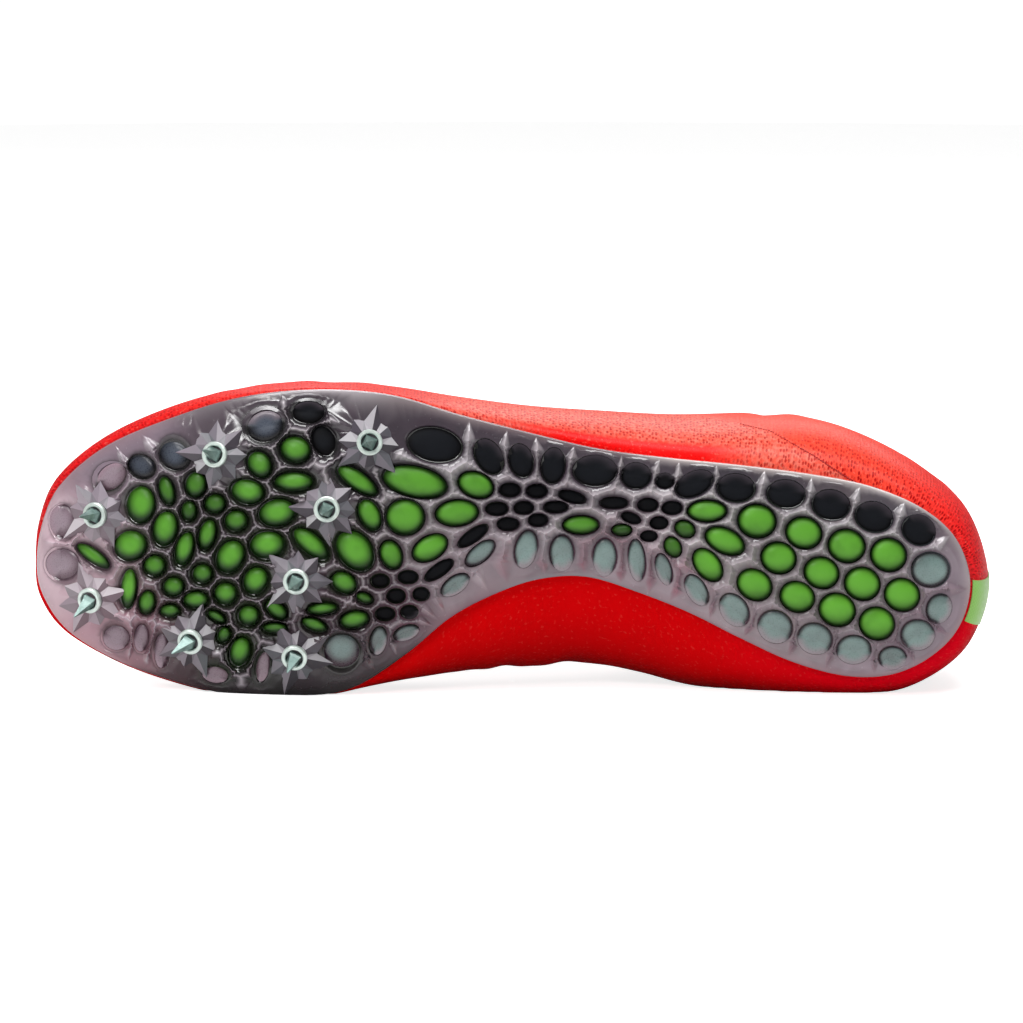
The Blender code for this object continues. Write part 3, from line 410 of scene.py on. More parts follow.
# Gives a material's shader its colour, roughness and relief
def endMaterial(made, colour, rough, height, depth):
    tree = made.node_tree
    bump = addNode(tree, "ShaderNodeBump", {"Height": height, "Distance": depth, "Strength": 1.0})
    sockets = tree.nodes["Principled BSDF"].inputs
    for label, socket in (("Base Color", colour), ("Roughness", rough), ("Normal", bump.outputs[0])):
        tree.links.new(socket, sockets[label])
    return made


def startGroup(name, inputs, outputs):
    tree = bpy.data.node_groups.new(name, "ShaderNodeTree")
    for label, kind, value in inputs:
        socket = tree.interface.new_socket(label, in_out="INPUT", socket_type="NodeSocket" + kind)
        if value is not None:
            socket.default_value = value
    for label in outputs:
        tree.interface.new_socket(label, in_out="OUTPUT", socket_type="NodeSocketFloat")
    return tree, addNode(tree, "NodeGroupInput").outputs


def endGroup(tree, results):
    out = addNode(tree, "NodeGroupOutput").inputs
    for label, socket in results.items():
        tree.links.new(socket, out[label])
    return tree


def useGroup(tree, group, inputs):
    return addNode(tree, "ShaderNodeGroup", inputs, node_tree=group).outputs


# Scene-linear colour of a screen colour from 0 to 255
def rgb(red, green, blue):
    return tuple(((value / 255 + 0.055) / 1.055) ** 2.4 if value > 10 else value / 255 / 12.92
                 for value in (red, green, blue)) + (1.0,)


# Staggered knit stitches and holes on the cloth map, which is in metres
def buildKnitGroup():
    tree, given = startGroup("knitStitches", (
        ("Map", "Vector", None), ("Pitch", "Float", 0.0016), ("Hole Size", "Float", 0.3),
        ("Unevenness", "Float", 0.2)), ("Height", "Hole", "Glint"))
    clothMap, holeSize = given["Map"], given["Hole Size"]
    scale = calc(tree, "DIVIDE", 1.0, given["Pitch"])
    drawn = addNode(tree, "ShaderNodeVectorMath", {0: clothMap, 1: (1.35, 0.7, 1.0)}, operation="MULTIPLY")
    dots = addNode(tree, "ShaderNodeTexVoronoi", {
        "Vector": drawn.outputs[0], "Scale": scale, "Randomness": given["Unevenness"]},
        voronoi_dimensions="2D").outputs
    strength = addNode(tree, "ShaderNodeSeparateColor", {0: dots["Color"]}).outputs[0]
    split = addNode(tree, "ShaderNodeSeparateXYZ", {0: clothMap}).outputs
    u = times(tree, split[0], times(tree, scale, math.tau))
    v = times(tree, split[1], times(tree, scale, math.tau * 1.35))
    lean = times(tree, calc(tree, "SINE", u), 1.1)
    loops = times(tree, calc(tree, "SINE", calc(tree, "ADD", v, lean)), 0.5)
    ribs = calc(tree, "ABSOLUTE", calc(tree, "SINE", times(tree, u, 0.5)))
    hole = times(tree, rangeOf(tree, dots["Distance"], holeSize, times(tree, holeSize, 0.45)),
                 rangeOf(tree, strength, 0.1, 0.7, 0.25, 1.0))
    height = calc(tree, "ADD", times(tree, loops, 0.45), times(tree, ribs, 0.7))
    # painted glints: small light specks on the knit
    glints = noiseOf(tree, {"Vector": clothMap, "Scale": scale, "Detail": 2.0})
    return endGroup(tree, {"Height": calc(tree, "SUBTRACT", height, hole), "Hole": hole,
                           "Glint": rangeOf(tree, glints, 0.58, 0.72)})


# Fine over and under weave on the cloth map, which is in metres
def buildWeaveGroup():
    tree, given = startGroup("plainWeave", (
        ("Map", "Vector", None), ("Pitch", "Float", 0.0008)), ("Height", "Thread"))
    split = addNode(tree, "ShaderNodeSeparateXYZ", {0: given["Map"]}).outputs
    turnRate = calc(tree, "DIVIDE", math.pi, given["Pitch"])
    across, along = (calc(tree, "SINE", times(tree, split[axis], turnRate)) for axis in (0, 1))
    height = calc(tree, "MULTIPLY_ADD", times(tree, across, along), 0.5, 0.5)
    thread = noiseOf(tree, {"Vector": given["Map"], "Scale": 900.0, "Detail": 3.0})
    return endGroup(tree, {"Height": height, "Thread": thread})


# Soft patches of tone and fine grain in the shoe's own place
def buildCloudGroup():
    tree, given = startGroup("tonePatches", (
        ("Size", "Float", 0.02), ("Grain Size", "Float", 0.0006)), ("Patch", "Grain"))
    spot = addNode(tree, "ShaderNodeTexCoord").outputs["Object"]
    results = {}
    for label, size, detail in (("Patch", "Size", 2.0), ("Grain", "Grain Size", 1.0)):
        scale = calc(tree, "DIVIDE", 1.0, given[size])
        results[label] = noiseOf(tree, {"Vector": spot, "Detail": detail, "Scale": scale})
    return endGroup(tree, results)


knitGroup, weaveGroup, cloudGroup = buildKnitGroup(), buildWeaveGroup(), buildCloudGroup()
print("charts and shader groups ready")

# The spike plate: walls down to each pad, ridges midway between cells, rolled rim and stars
plate = {
    "rimPoints": 280, "rimInset": 2.2, "pointPitch": 4.2, "loopPoints": (14, 30), "seatPoints": 24,
    "leastRib": 2.6, "fitRounds": 16, "fitShrink": 0.95,  # how cells that are too close are drawn in
    "heelWall": 2.4, "frontWall": 9.0, "wallChange": (330, 450), "wallRoom": (0.62, 0.14),
    "openReach": 34.0, "openChange": (0.15, 0.5),  # where a cell runs out into the rim
    "wallDepth": 0.0011, "wallProfile": ((1.0, 0.0), (0.62, 0.26), (0.28, 0.8), (0.0, 1.0)),  # reach, drop
    "ridgeHeight": 0.0021, "ridgeShape": 1.7, "fullRib": 7.0, "rimRib": 0.12, "seatRib": 0.25,
    "bossRadius": 14.0, "bossHeight": 0.0028, "wellShade": 0.62,
    "rimProfile": ((1.2, 0.0001, 0.4), (0.35, 0.00035, 1.0), (0.0, 0.0008, 1.0), (0.0, 0.0016, 1.0),
                   (0.5, 0.0026, 1.0)),  # inset, depth, edge mark
}
# Reaches of a star in boss radii and chart steps, heights in ridge or boss heights
star = {
    "rays": 8, "reach": 31.0, "strutReach": 38.0, "seat": 0.86, "valley": 1.6, "crownHeight": 1.15,
    "tipHeight": 0.2, "valleyHeight": 0.4, "tone": 0.48, "litTone": 0.34, "oddTone": 0.26, "lightAngle": 4.3,
}


def outlineOf(count):
    return spokeAt(np.arange(count) * len(spokes) / count)[:, :2]


def insetOf(loop, distance):
    along = np.roll(loop, -1, 0) - np.roll(loop, 1, 0)
    along /= np.linalg.norm(along, axis=1)[:, None]
    return loop + np.stack((-along[:, 1], along[:, 0]), -1) * distance


# Points of an ellipse in the chart, where rows run down, and its outward directions
def ellipseOf(cell, count):
    x, y, long, short, turn = cell
    cosine, sine = math.cos(math.radians(turn)), math.sin(math.radians(turn))
    phase = (np.arange(count) + 0.5) * math.tau / count
    along, across = np.cos(phase), np.sin(phase)
    size = np.hypot(along * short, across * long)

    def turned(a, b):
        return np.stack((a * cosine - b * sine, -a * sine - b * cosine), -1)

    return (turned(along * long / 2, across * short / 2) + (x, y),
            turned(along * short / size, across * long / size))


def insideOf(points, loop):
    x, y = points[:, 0, None], points[:, 1, None]
    ax, ay = loop[:, 0], loop[:, 1]
    bx, by = np.roll(ax, -1), np.roll(ay, -1)
    crossing = (ay > y) != (by > y)
    reach = (bx - ax) * (y - ay) / np.where(by == ay, 1e-9, by - ay) + ax
    return (crossing & (x < reach)).sum(1) % 2 == 1


# Distance from every point of one loop to every point of another
def gapsOf(first, second):
    return np.hypot(first[:, None, 0] - second[None, :, 0], first[:, None, 1] - second[None, :, 1])


# Half the distance from each loop point to the nearest point of another loop
def freeWidth(points, labels):
    width = np.empty(len(points))
    for start in range(0, len(points), 400):
        part = slice(start, start + 400)
        gaps = gapsOf(points[part], points)
        gaps[labels[part, None] == labels[None, :]] = 1e9
        width[part] = gaps.min(1) / 2
    return width


# Splits every triangle in four, carrying the values of its corners
def splitTriangles(values, triangles):
    edges = np.sort(np.concatenate([triangles[:, (0, 1)], triangles[:, (1, 2)], triangles[:, (2, 0)]]), 1)
    unique, back = np.unique(edges, axis=0, return_inverse=True)
    middle = (values[unique[:, 0]] + values[unique[:, 1]]) / 2
    ab, bc, ca = (back.reshape(-1) + len(values)).reshape(3, -1)
    a, b, c = triangles.T
    split = np.concatenate([np.stack(part, 1) for part in
                            ((a, ab, ca), (ab, b, bc), (ca, bc, c), (ab, bc, ca))])
    return np.concatenate([values, middle]), split


# Cells drawn in a little where they would touch each other, a seat or the rim
def fitCells(cells):
    cells = [list(cell) for cell in cells]
    rim = insetOf(outlineOf(400), plate["rimInset"])
    seatSpots, leastRib = np.array(spikes, float)[:, :2], plate["leastRib"]
    for _ in range(plate["fitRounds"]):
        loops = [ellipseOf(cell, 28)[0] for cell in cells]
        tight = set()
        for a, first in enumerate(loops):
            for b in range(a + 1, len(loops)):
                apart = math.hypot(cells[a][0] - cells[b][0], cells[a][1] - cells[b][1])
                near = apart < (cells[a][2] + cells[b][2]) / 2 + 3
                if near and gapsOf(first, loops[b]).min() < leastRib:
                    tight.update((a, b))
            toSeat = gapsOf(first, seatSpots).min() - plate["bossRadius"]
            if min(gapsOf(first, rim).min(), toSeat) < leastRib:
                tight.add(a)
        if not tight:
            break
        for index in tight:
            cells[index][2] *= plate["fitShrink"]
            cells[index][3] *= plate["fitShrink"]
    return [tuple(cell) for cell in cells]


# 1 in the forefoot, where the ribs are thin webs over deep wells, 0 at the flat ribs of the heel
def frontShare(x):
    low, high = plate["wallChange"]
    return 1 - easeOf((x - low) / (high - low))


# How far each loop point of a cell keeps its wall: 0 on the side that runs out into the rim
def wallShare(cell, points, normals, rim):
    away = rim - np.array(cell[:2])
    nearest = np.hypot(away[:, 0], away[:, 1]).argmin()
    distance = np.hypot(*away[nearest])
    if distance > plate["openReach"]:
        return np.ones(len(points))
    turnedAway, change = plate["openChange"]
    return 1 - easeOf((normals @ (away[nearest] / distance) - turnedAway) / change)


# The rim, every cell and every seat as loops, with outward directions and wall shares
def loopsOf(cells, greenCount, rim):
    inner = insetOf(rim, plate["rimInset"])
    loops, outward, walled = [inner], [np.zeros_like(inner)], [np.zeros(len(inner))]
    for number, cell in enumerate(cells):
        around = math.pi * (cell[2] + cell[3]) / 2
        count = int(np.clip(around / plate["pointPitch"], *plate["loopPoints"])) // 2 * 2
        points, normals = ellipseOf(cell, count)
        loops.append(points)
        outward.append(normals)
        walled.append(np.ones(count) if number < greenCount else wallShare(cell, points, normals, rim))
    for x, y, *_ in spikes:
        seat = ellipseOf((x, y, 2 * plate["bossRadius"], 2 * plate["bossRadius"], 0), plate["seatPoints"])[0]
        loops.append(seat)
        outward.append(np.zeros_like(seat))
        walled.append(np.zeros(len(seat)))
    return loops, np.concatenate(outward), np.concatenate(walled)


# Wall width at each loop point, evened out along each loop so that no two walls cross
def wallWidths(base, labels, starts):
    front = frontShare(base[:, 0])
    wide = plate["heelWall"] + (plate["frontWall"] - plate["heelWall"]) * front
    room, roomInFront = plate["wallRoom"]
    wide = np.minimum(wide, (room + roomInFront * front) * freeWidth(base, labels))
    for start, end in zip(starts, starts[1:]):
        least = np.min([np.roll(wide[start:end], turn) for turn in (-2, -1, 0, 1, 2)], 0)
        wide[start:end] = (np.roll(least, 1) + 2 * least + np.roll(least, -1)) / 4
    return wide[:, None]


# Triangles between the loops, and the loop that each corner belongs to
def trianglesBetween(top, labels, edges, inner):
    corners = [Vector(point) for point in top.tolist()]
    _, _, triangles, sources = delaunay_2d_cdt(corners, edges, [], 0, 1e-5, True)[:4]
    order = [origin[0] for origin in sources]
    triangles = np.array([[order[corner] for corner in triangle] for triangle in triangles])
    owner = labels[triangles]
    same = (owner[:, 0] == owner[:, 1]) & (owner[:, 1] == owner[:, 2])
    keep = insideOf(top[triangles].mean(1), inner) & ~(same & (owner[:, 0] > 0))
    return triangles[keep], owner[keep]


# Splits the triangles at the ridges midway between cells. The columns are chart x, chart y,
# share of the way to the ridge, ridge height, nearness to the rim, and crest
def raiseRidges(top, labels, triangles, owner, bossStart):
    ridge, boss = plate["ridgeHeight"], plate["bossHeight"]
    values = [(x, y, 0.0, 0.0, float(label == 0), 0.0) for (x, y), label in zip(top, labels)]
    for index in np.flatnonzero(labels >= bossStart):
        values[index] = (*top[index], 1.0, boss * 0.4, 0.0, 0.0)
    middles = {}

    def middleOf(a, b):
        key = (min(a, b), max(a, b))
        if key not in middles:
            atRim, atSeat = 0 in (labels[a], labels[b]), max(labels[a], labels[b]) >= bossStart
            height = ridge * np.clip(np.linalg.norm(top[a] - top[b]) / plate["fullRib"], 0.45, 1.0)
            if atRim:
                height = ridge * plate["rimRib"]
            if atSeat:
                height = ridge * plate["seatRib"]
            middles[key] = len(values)
            values.append((*(top[a] + top[b]) / 2, 1.0, height, 0.5 * atRim, float(not atRim and not atSeat)))
        return middles[key]

    faces = []
    for triangle, owners in zip(triangles.tolist(), owner.tolist()):
        kinds = len(set(owners))
        if kinds == 1:
            faces.append(triangle)
        elif kinds == 2:
            odd = next(i for i in range(3) if owners.count(owners[i]) == 1)
            c, a, b = triangle[odd], triangle[(odd + 1) % 3], triangle[(odd + 2) % 3]
            first, second = middleOf(a, c), middleOf(b, c)
            faces += [(c, first, second), (a, b, second), (a, second, first)]
        else:
            atRim, atSeat = 0 in owners, max(owners) >= bossStart
            height = boss * 0.3 if atSeat else ridge * (0.75 if atRim else 1.05)
            centre = len(values)
            values.append((*top[triangle].mean(0), 1.0, height, 0.4 * atRim, float(not atSeat)))
            for i in range(3):
                a, b = triangle[i], triangle[(i + 1) % 3]
                middle = middleOf(a, b)
                faces += [(a, middle, centre), (middle, b, centre)]
    values, faces = np.array(values), np.array(faces)
    first, second, third = (values[faces[:, corner], :2] for corner in range(3))
    faces = faces[np.abs(np.cross(second - first, third - first)) > 1e-4]
    for _ in range(2):
        values, faces = splitTriangles(values, faces)
    return values, faces


def buildPlate(cells, greenCount, darkCount):
    rim = outlineOf(plate["rimPoints"])
    loops, outward, walled = loopsOf(cells, greenCount, rim)
    base, inner = np.concatenate(loops), loops[0]
    labels = np.concatenate([np.full(len(loop), label) for label, loop in enumerate(loops)])
    starts = [0, *np.cumsum([len(loop) for loop in loops]).tolist()]
    bossStart = len(cells) + 1
    reach = outward * wallWidths(base, labels, starts)
    edges = [(start + i, start + (i + 1) % (end - start)) for start, end in zip(starts, starts[1:])
             for i in range(end - start)]
    triangles, owner = trianglesBetween(base + reach, labels, edges, inner)
    values, faces = raiseRidges(base + reach, labels, triangles, owner, bossStart)
    x, y, share, height, nearRim, crest = values.T
    lift = height * share ** (plate["ridgeShape"] - 1)
    front = frontShare(x)
    print("plate top:", len(values), "points,", len(faces), "triangles")

    # each wall runs from its top over a shoulder and a foot to the pad's edge
    cellPoints = (labels > 0) & (labels < bossStart)
    darkened = np.where((labels > greenCount) & (labels <= darkCount), 1.0, walled)  # painted shade stays on every side of the dark cells' walls
    # painted shade in the forefoot's wells, darkest beside the pads
    shade = plate["wellShade"] * front * (1 - share) * (1 - nearRim)
    # painted highlight on the ribs' crests
    crestHighlight = np.clip((share - 0.6 * front) / (0.34 + 0.02 * front), 0, 1) * (0.78 + 0.1 * front)
    body = [onSole(x, y, -lift)]
    marks = [np.stack((crest * crestHighlight, lift / plate["ridgeHeight"], nearRim, shade), -1)]
    shift, levels, faces = len(values), len(plate["wallProfile"]) - 1, faces.tolist()
    for part, drop in plate["wallProfile"]:
        row = base + reach * part
        kept = np.maximum(walled, 0.5 * cellPoints * (drop == 1.0))  # the floor stays under the pads
        body.append(onSole(*row.T, plate["wallDepth"] * drop * kept))
        # painted shade: each wall darker the deeper it goes, and the forefoot's wells dark throughout
        dark = np.maximum(drop, plate["wellShade"] * frontShare(base[:, 0])) * darkened
        marks.append(np.stack((0 * dark, 0 * dark, 0 * dark, dark), -1))
    for a, b in edges:
        if cellPoints[a]:
            for here in range(shift, shift + levels * len(base), len(base)):
                faces.append((here + a, here + b, here + len(base) + b, here + len(base) + a))
    floor = shift + levels * len(base)
    faces += [tuple(range(floor + starts[label], floor + starts[label + 1])) for label in range(1, bossStart)]

    # the rolled rim
    profile = ((plate["rimInset"], 0.0, 0.0), *plate["rimProfile"])
    innerDepth = soleDepth(*inner.T)
    grid = np.stack([place(*insetOf(rim, inset).T, innerDepth + depth) for inset, depth, _ in profile], 1)
    faces += gridFaces(*grid.shape[:2], start=floor + len(base))
    body.append(grid.reshape(-1, 3))
    marks.append(np.tile([(0.0, edge, 1.0, 0.0) for _, _, edge in profile], (len(grid), 1)))
    return aboveFloor(np.concatenate(body)), faces, np.concatenate(marks)


# A star of folded rays round one spike seat: each facet has its own corners and tone
def buildStar(x, y, turn, number):
    rays, radius, high, low = star["rays"], plate["bossRadius"], plate["bossHeight"], plate["ridgeHeight"]
    half = math.pi / rays
    points, faces, marks = [], [], []

    def spot(angle, distance, lift):
        return onSole(x + distance * math.cos(angle), y + distance * math.sin(angle), -lift)

    def addFacet(corners, tone):
        start = len(points)
        points.extend(corners)
        marks.extend([(float(np.clip(tone, 0, 1)), 0.0, 0.0, -1.0)] * len(corners))
        faces.append(tuple(range(start, start + len(corners))))

    for ray in range(rays):
        straight = math.radians(turn) + 2 * half * ray
        angle = straight + 2 * half * 0.10 * math.sin(number * 2.3 + ray * 1.9)
        reach = star["reach"] * (1.08 + 0.24 * math.sin(number * 1.7 + ray * 2.6))
        if ray == 2 and turn == 0:
            reach = star["strutReach"]
        tip = spot(angle, reach, low * star["tipHeight"])
        crown = spot(angle, radius * star["seat"], high * star["crownHeight"])
        for side in (-1, 1):
            edge = straight + side * half
            seatEnd = spot(edge, radius * star["seat"], high)
            valley = spot(edge, radius * star["valley"], low * star["valleyHeight"])
            # painted light and shade: a facet turned toward the light is lighter, the facet by the seat a
            # little darker, with an odd tone at random
            tone = (star["tone"] + star["litTone"] * math.cos(angle + side * 1.4 - star["lightAngle"])
                    + star["oddTone"] * math.sin(number * 3.1 + ray * 4.3 + side))
            addFacet([crown, tip, valley][::side], tone)
            addFacet([crown, valley, seatEnd][::side], tone - 0.12)
    addFacet([spot(half * i, radius * 0.88, high * 0.98) for i in range(2 * rays)][::-1], 0.4)
    return points, faces, marks


# Zones of the plate's smoky plastic: centre, reach in the chart, colour. Besides the plastic's own tone they
# hold painted shade: darker zones in the forefoot and near-black ones under the ball
plateZones = (
    (55, 560, 60, (196, 168, 178)), (110, 636, 44, (172, 132, 144)), (130, 462, 55, (132, 116, 128)),
    (260, 420, 70, (70, 62, 70)), (400, 420, 80, (62, 54, 62)), (560, 460, 80, (70, 62, 70)),
    (250, 540, 90, (64, 54, 60)), (350, 620, 60, (84, 66, 76)), (130, 655, 26, (122, 84, 94)),
    (185, 668, 30, (58, 34, 40)), (250, 684, 60, (14, 7, 9)), (350, 684, 50, (20, 12, 16)),
    (408, 618, 26, (88, 52, 68)), (425, 655, 26, (96, 84, 92)), (480, 590, 60, (140, 124, 132)),
    (640, 590, 60, (150, 134, 142)), (760, 640, 60, (158, 144, 150)), (820, 560, 80, (96, 88, 92)),
    (900, 600, 60, (126, 112, 122)), (760, 480, 70, (62, 56, 64)), (950, 600, 40, (134, 116, 128)),
    (880, 670, 50, (156, 140, 150)), (900, 500, 40, (74, 68, 76)),
)
# Painted highlight on the ribs' crests: pale on the outer side of the foot, where the light from above falls,
# mauve along the inner side
crestZones = (
    (60, 560, 60, (204, 184, 194)), (240, 430, 90, (208, 200, 206)), (430, 430, 80, (216, 208, 214)),
    (260, 560, 100, (176, 166, 174)), (400, 560, 80, (184, 174, 180)), (330, 664, 50, (74, 62, 68)),
    (450, 625, 26, (124, 84, 98)), (520, 578, 26, (134, 90, 104)), (600, 562, 34, (138, 96, 110)),
    (670, 588, 30, (138, 96, 110)), (730, 625, 30, (128, 92, 106)), (820, 662, 36, (120, 92, 104)),
    (920, 640, 36, (132, 106, 118)), (560, 490, 60, (204, 194, 200)), (700, 480, 60, (228, 220, 224)),
    (850, 490, 60, (232, 226, 230)), (760, 560, 50, (184, 174, 180)), (860, 590, 50, (174, 164, 170)),
)
# Colour of the painted shade that the cell walls go down to: green beside the green pads, mauve beside the pale
# ones
shadeZones = (
    (60, 560, 50, (70, 50, 62)), (130, 655, 40, (60, 36, 46)), (210, 450, 60, (14, 12, 18)),
    (400, 420, 90, (12, 10, 14)), (230, 540, 90, (18, 34, 8)), (360, 560, 70, (18, 34, 10)),
    (330, 650, 50, (10, 14, 6)), (450, 490, 50, (18, 34, 10)), (470, 570, 40, (12, 10, 12)),
    (520, 560, 26, (78, 46, 62)), (590, 560, 40, (88, 52, 70)), (660, 590, 34, (88, 52, 70)),
    (560, 490, 70, (14, 12, 12)), (760, 550, 60, (26, 56, 14)), (850, 590, 60, (28, 60, 16)),
    (740, 625, 30, (90, 58, 76)), (820, 660, 40, (96, 66, 84)), (920, 640, 40, (96, 72, 84)),
    (940, 570, 24, (50, 64, 66)), (700, 462, 90, (14, 12, 18)), (790, 476, 90, (14, 12, 20)),
    (890, 500, 80, (16, 22, 30)),
)
# Painted light on the rim: its outer edge is painted lighter at the lateral heel, and painted dark, as shade,
# under the ball
rimZones = (
    (50, 560, 60, (186, 160, 168)), (120, 470, 60, (150, 124, 132)), (240, 405, 60, (122, 112, 118)),
    (340, 392, 50, (196, 188, 192)), (430, 402, 60, (150, 136, 138)), (560, 440, 80, (128, 110, 114)),
    (720, 460, 70, (206, 194, 192)), (860, 490, 60, (214, 204, 202)), (950, 550, 50, (170, 160, 162)),
    (960, 620, 40, (150, 120, 126)), (860, 680, 60, (146, 118, 126)), (700, 620, 60, (140, 118, 126)),
    (560, 575, 60, (132, 128, 134)), (450, 600, 50, (120, 84, 96)), (380, 670, 50, (30, 16, 20)),
    (280, 690, 60, (12, 6, 8)), (170, 674, 40, (64, 34, 40)), (90, 640, 50, (176, 132, 140)),
)


def zoneColours(x, y, zones):
    total, mixed = 0.0, 0.0
    for zoneX, zoneY, reach, colour in zones:
        weight = np.exp(-((x - zoneX) ** 2 + (y - zoneY) ** 2) / (reach * 0.8) ** 2) + 1e-9
        total = total + weight
        mixed = mixed + weight[:, None] * np.array(rgb(*colour))
    return mixed / total[:, None]


def buildPlateMaterial():
    made, tree, shader = startMaterial("smokyPlate", {
        "IOR": 1.5, "Coat Roughness": 0.16, "Coat IOR": 1.6, "Specular IOR Level": 0.4})
    # wall carries painted shade, deepest down the cell walls and in the forefoot's wells; the star facets hold
    # -1
    zone, wall = markOf(tree, "zone"), markOf(tree, "wall", "Fac")
    share, lift, rim = channelsOf(tree, "relief")
    isStar = calc(tree, "LESS_THAN", wall, -0.5)
    coated = rangeOf(tree, upwardOf(tree), -0.45, 0.1, 0.1, 0.8)
    dulled = rangeOf(tree, isStar, 0.0, 1.0, 1.0, 0.25)
    tree.links.new(times(tree, coated, dulled), shader.inputs["Coat Weight"])
    clouds = useGroup(tree, cloudGroup, {"Size": 0.010, "Grain Size": 0.0012})
    streaks = mixColour(tree, rangeOf(tree, clouds["Patch"], 0.4, 0.7, 0.0, 0.3), zone, (0.06, 0.034, 0.05, 1))
    # painted light along the rim's outer edge, and painted shade there under the ball, from the rim tone
    nearEdge = times(tree, calc(tree, "POWER", rim, 3.5), rangeOf(tree, lift, -0.4, 1.0, 0.55, 1.0))
    rimmed = mixColour(tree, nearEdge, streaks, markOf(tree, "rimTone"))
    # painted highlight: the crests take the crest tone
    top = mixColour(tree, share, rimmed, markOf(tree, "crestTone"))
    # painted shade: the walls and wells go toward the shade tone
    shaded = rangeOf(tree, clouds["Grain"], 0.2, 0.8, 0.88, 0.98)
    shadow = mixColour(tree, shaded, zone, markOf(tree, "shadeTone"))
    deep = mixColour(tree, rangeOf(tree, wall, 0.12, 0.9), top, shadow)
    # painted light and shade of the star facets, from their tone
    facet = rampOf(tree, share, (
        (0.0, (52, 48, 56)), (0.25, (84, 78, 88)), (0.45, (106, 112, 116)),
        (0.6, (138, 130, 140)), (0.8, (170, 164, 172)), (1.0, (206, 204, 208))))
    colour = mixColour(tree, isStar, deep, mixColour(tree, 0.3, facet, zone))
    polish = rangeOf(tree, clouds["Grain"], 0.3, 0.8, 0.16, 0.28)
    rough = calc(tree, "ADD", polish, times(tree, isStar, 0.2))
    return endMaterial(made, colour, rough, clouds["Patch"], 0.0004)


cells = {"green": greenCells, "dark": darkCells, "teal": tealCells, "mauve": mauveCells,
         "slate": slateCells}
allFitted = fitCells([cell for listed in cells.values() for cell in listed])
ends = np.cumsum([len(listed) for listed in cells.values()]).tolist()
fitted = {kind: allFitted[end - len(cells[kind]):end] for kind, end in zip(cells, ends)}
platePoints, plateFaces, plateMarks = joinParts(
    [buildPlate(allFitted, *ends[:2])]
    + [buildStar(x, y, turn, number) for number, (x, y, turn, _, _) in enumerate(spikes)])
plateChart = chartOf(platePoints)
plateTones = {"zone": plateZones, "rimTone": rimZones, "crestTone": crestZones, "shadeTone": shadeZones}
# relief carries the painted crest highlight and the star facets' painted light; wall carries painted shade
outsole = makePiece("outsole", platePoints, plateFaces, buildPlateMaterial(), "plate", angle=50, marks={
    "relief": np.concatenate([plateMarks[:, :3], np.ones((len(plateMarks), 1))], 1), "wall": plateMarks[:, 3],
    **{mark: zoneColours(*plateChart, zones) for mark, zones in plateTones.items()}})
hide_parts("outsole_plate")
print("plate built")

# Domed pads behind the cells
pads = {
    "rings": 8, "around": 28, "margin": 0.4, "frontMargin": -0.7, "sink": 0.0012, "domeShape": 2.6,
    "fullSize": 30, "sizeChange": 14, "smallShade": 0.6,  # small pads are darker
    "upperShade": 0.24, "shadeRows": (610, 120),  # the green is deeper toward the upper side
}
padKinds = (  # crown, colours of centre, edge (painted shade) and rim, roughness, coat, grain, gloss
    ("green", 0.0024, (104, 180, 52), (10, 40, 3), (16, 62, 6), 0.45, 0.05, 0.00003, 0.3),
    # painted shade: the dark pads' near-black stands for the shade in deep pockets
    ("dark", 0.0006, (19, 21, 26), (3, 2, 4), (50, 45, 51), 0.5, 0.0, 0.00001, 0.1),
    ("teal", 0.0011, (126, 150, 146), (54, 32, 46), (144, 136, 142), 0.3, 0.3, 0.00003, 0.5),
    ("slate", 0.0009, (74, 80, 92), (14, 12, 16), (120, 110, 118), 0.3, 0.2, 0.00001, 0.3),
    ("mauve", 0.0008, (150, 132, 143), (104, 80, 92), (150, 126, 138), 0.3, 0.3, 0.00003, 0.5),
)


def buildPad(cell, crown, runsOut, rim):
    x, y, long, short, turn = cell
    around, rings, front = pads["around"], pads["rings"], frontShare(x)
    missing = (pads["fullSize"] - (long + short) / 2) / pads["sizeChange"]
    small = pads["smallShade"] * min(1.0, max(0.0, missing))
    margin, walled = pads["margin"], np.ones(around)
    if runsOut:
        walled = wallShare(cell, *ellipseOf(cell, around), rim)
    else:
        lowest, reach = pads["shadeRows"]
        small += 0.1 + pads["upperShade"] * min(1.0, max(0.0, (lowest - y) / reach))
        margin += (pads["frontMargin"] - pads["margin"]) * front
    points, marks = [], []
    for ring in range(rings):
        share = 1 - ring / rings
        loop, _ = ellipseOf((x, y, (long + margin) * share, (short + margin) * share, turn), around)
        rise = math.sqrt(max(0.0, 1 - share ** pads["domeShape"]))
        points += list(onSole(*loop.T, pads["sink"] * (1 - (1 - walled) * share ** 2) - crown * rise))
        low = (loop[:, 1] - y) / (long / 2)  # painted shade: the lower side of each dome is darker
        domeShade = share ** (1 + 2.2 * (1 - front)) * (0.92 + (0.06 + 0.26 * front) * low) * walled
        marks += [(tone, small, share ** 2 * (1 - keep), 1) for tone, keep in zip(domeShade, walled)]
    points.append(onSole(x, y, pads["sink"] - crown))
    marks.append((0.0, small, 0.0, 1.0))
    last = (rings - 1) * around
    faces = ringFaces(rings, around, closed=False)
    faces += [(last + i, last + (i + 1) % around, last + around) for i in range(around)]
    return points, faces, marks


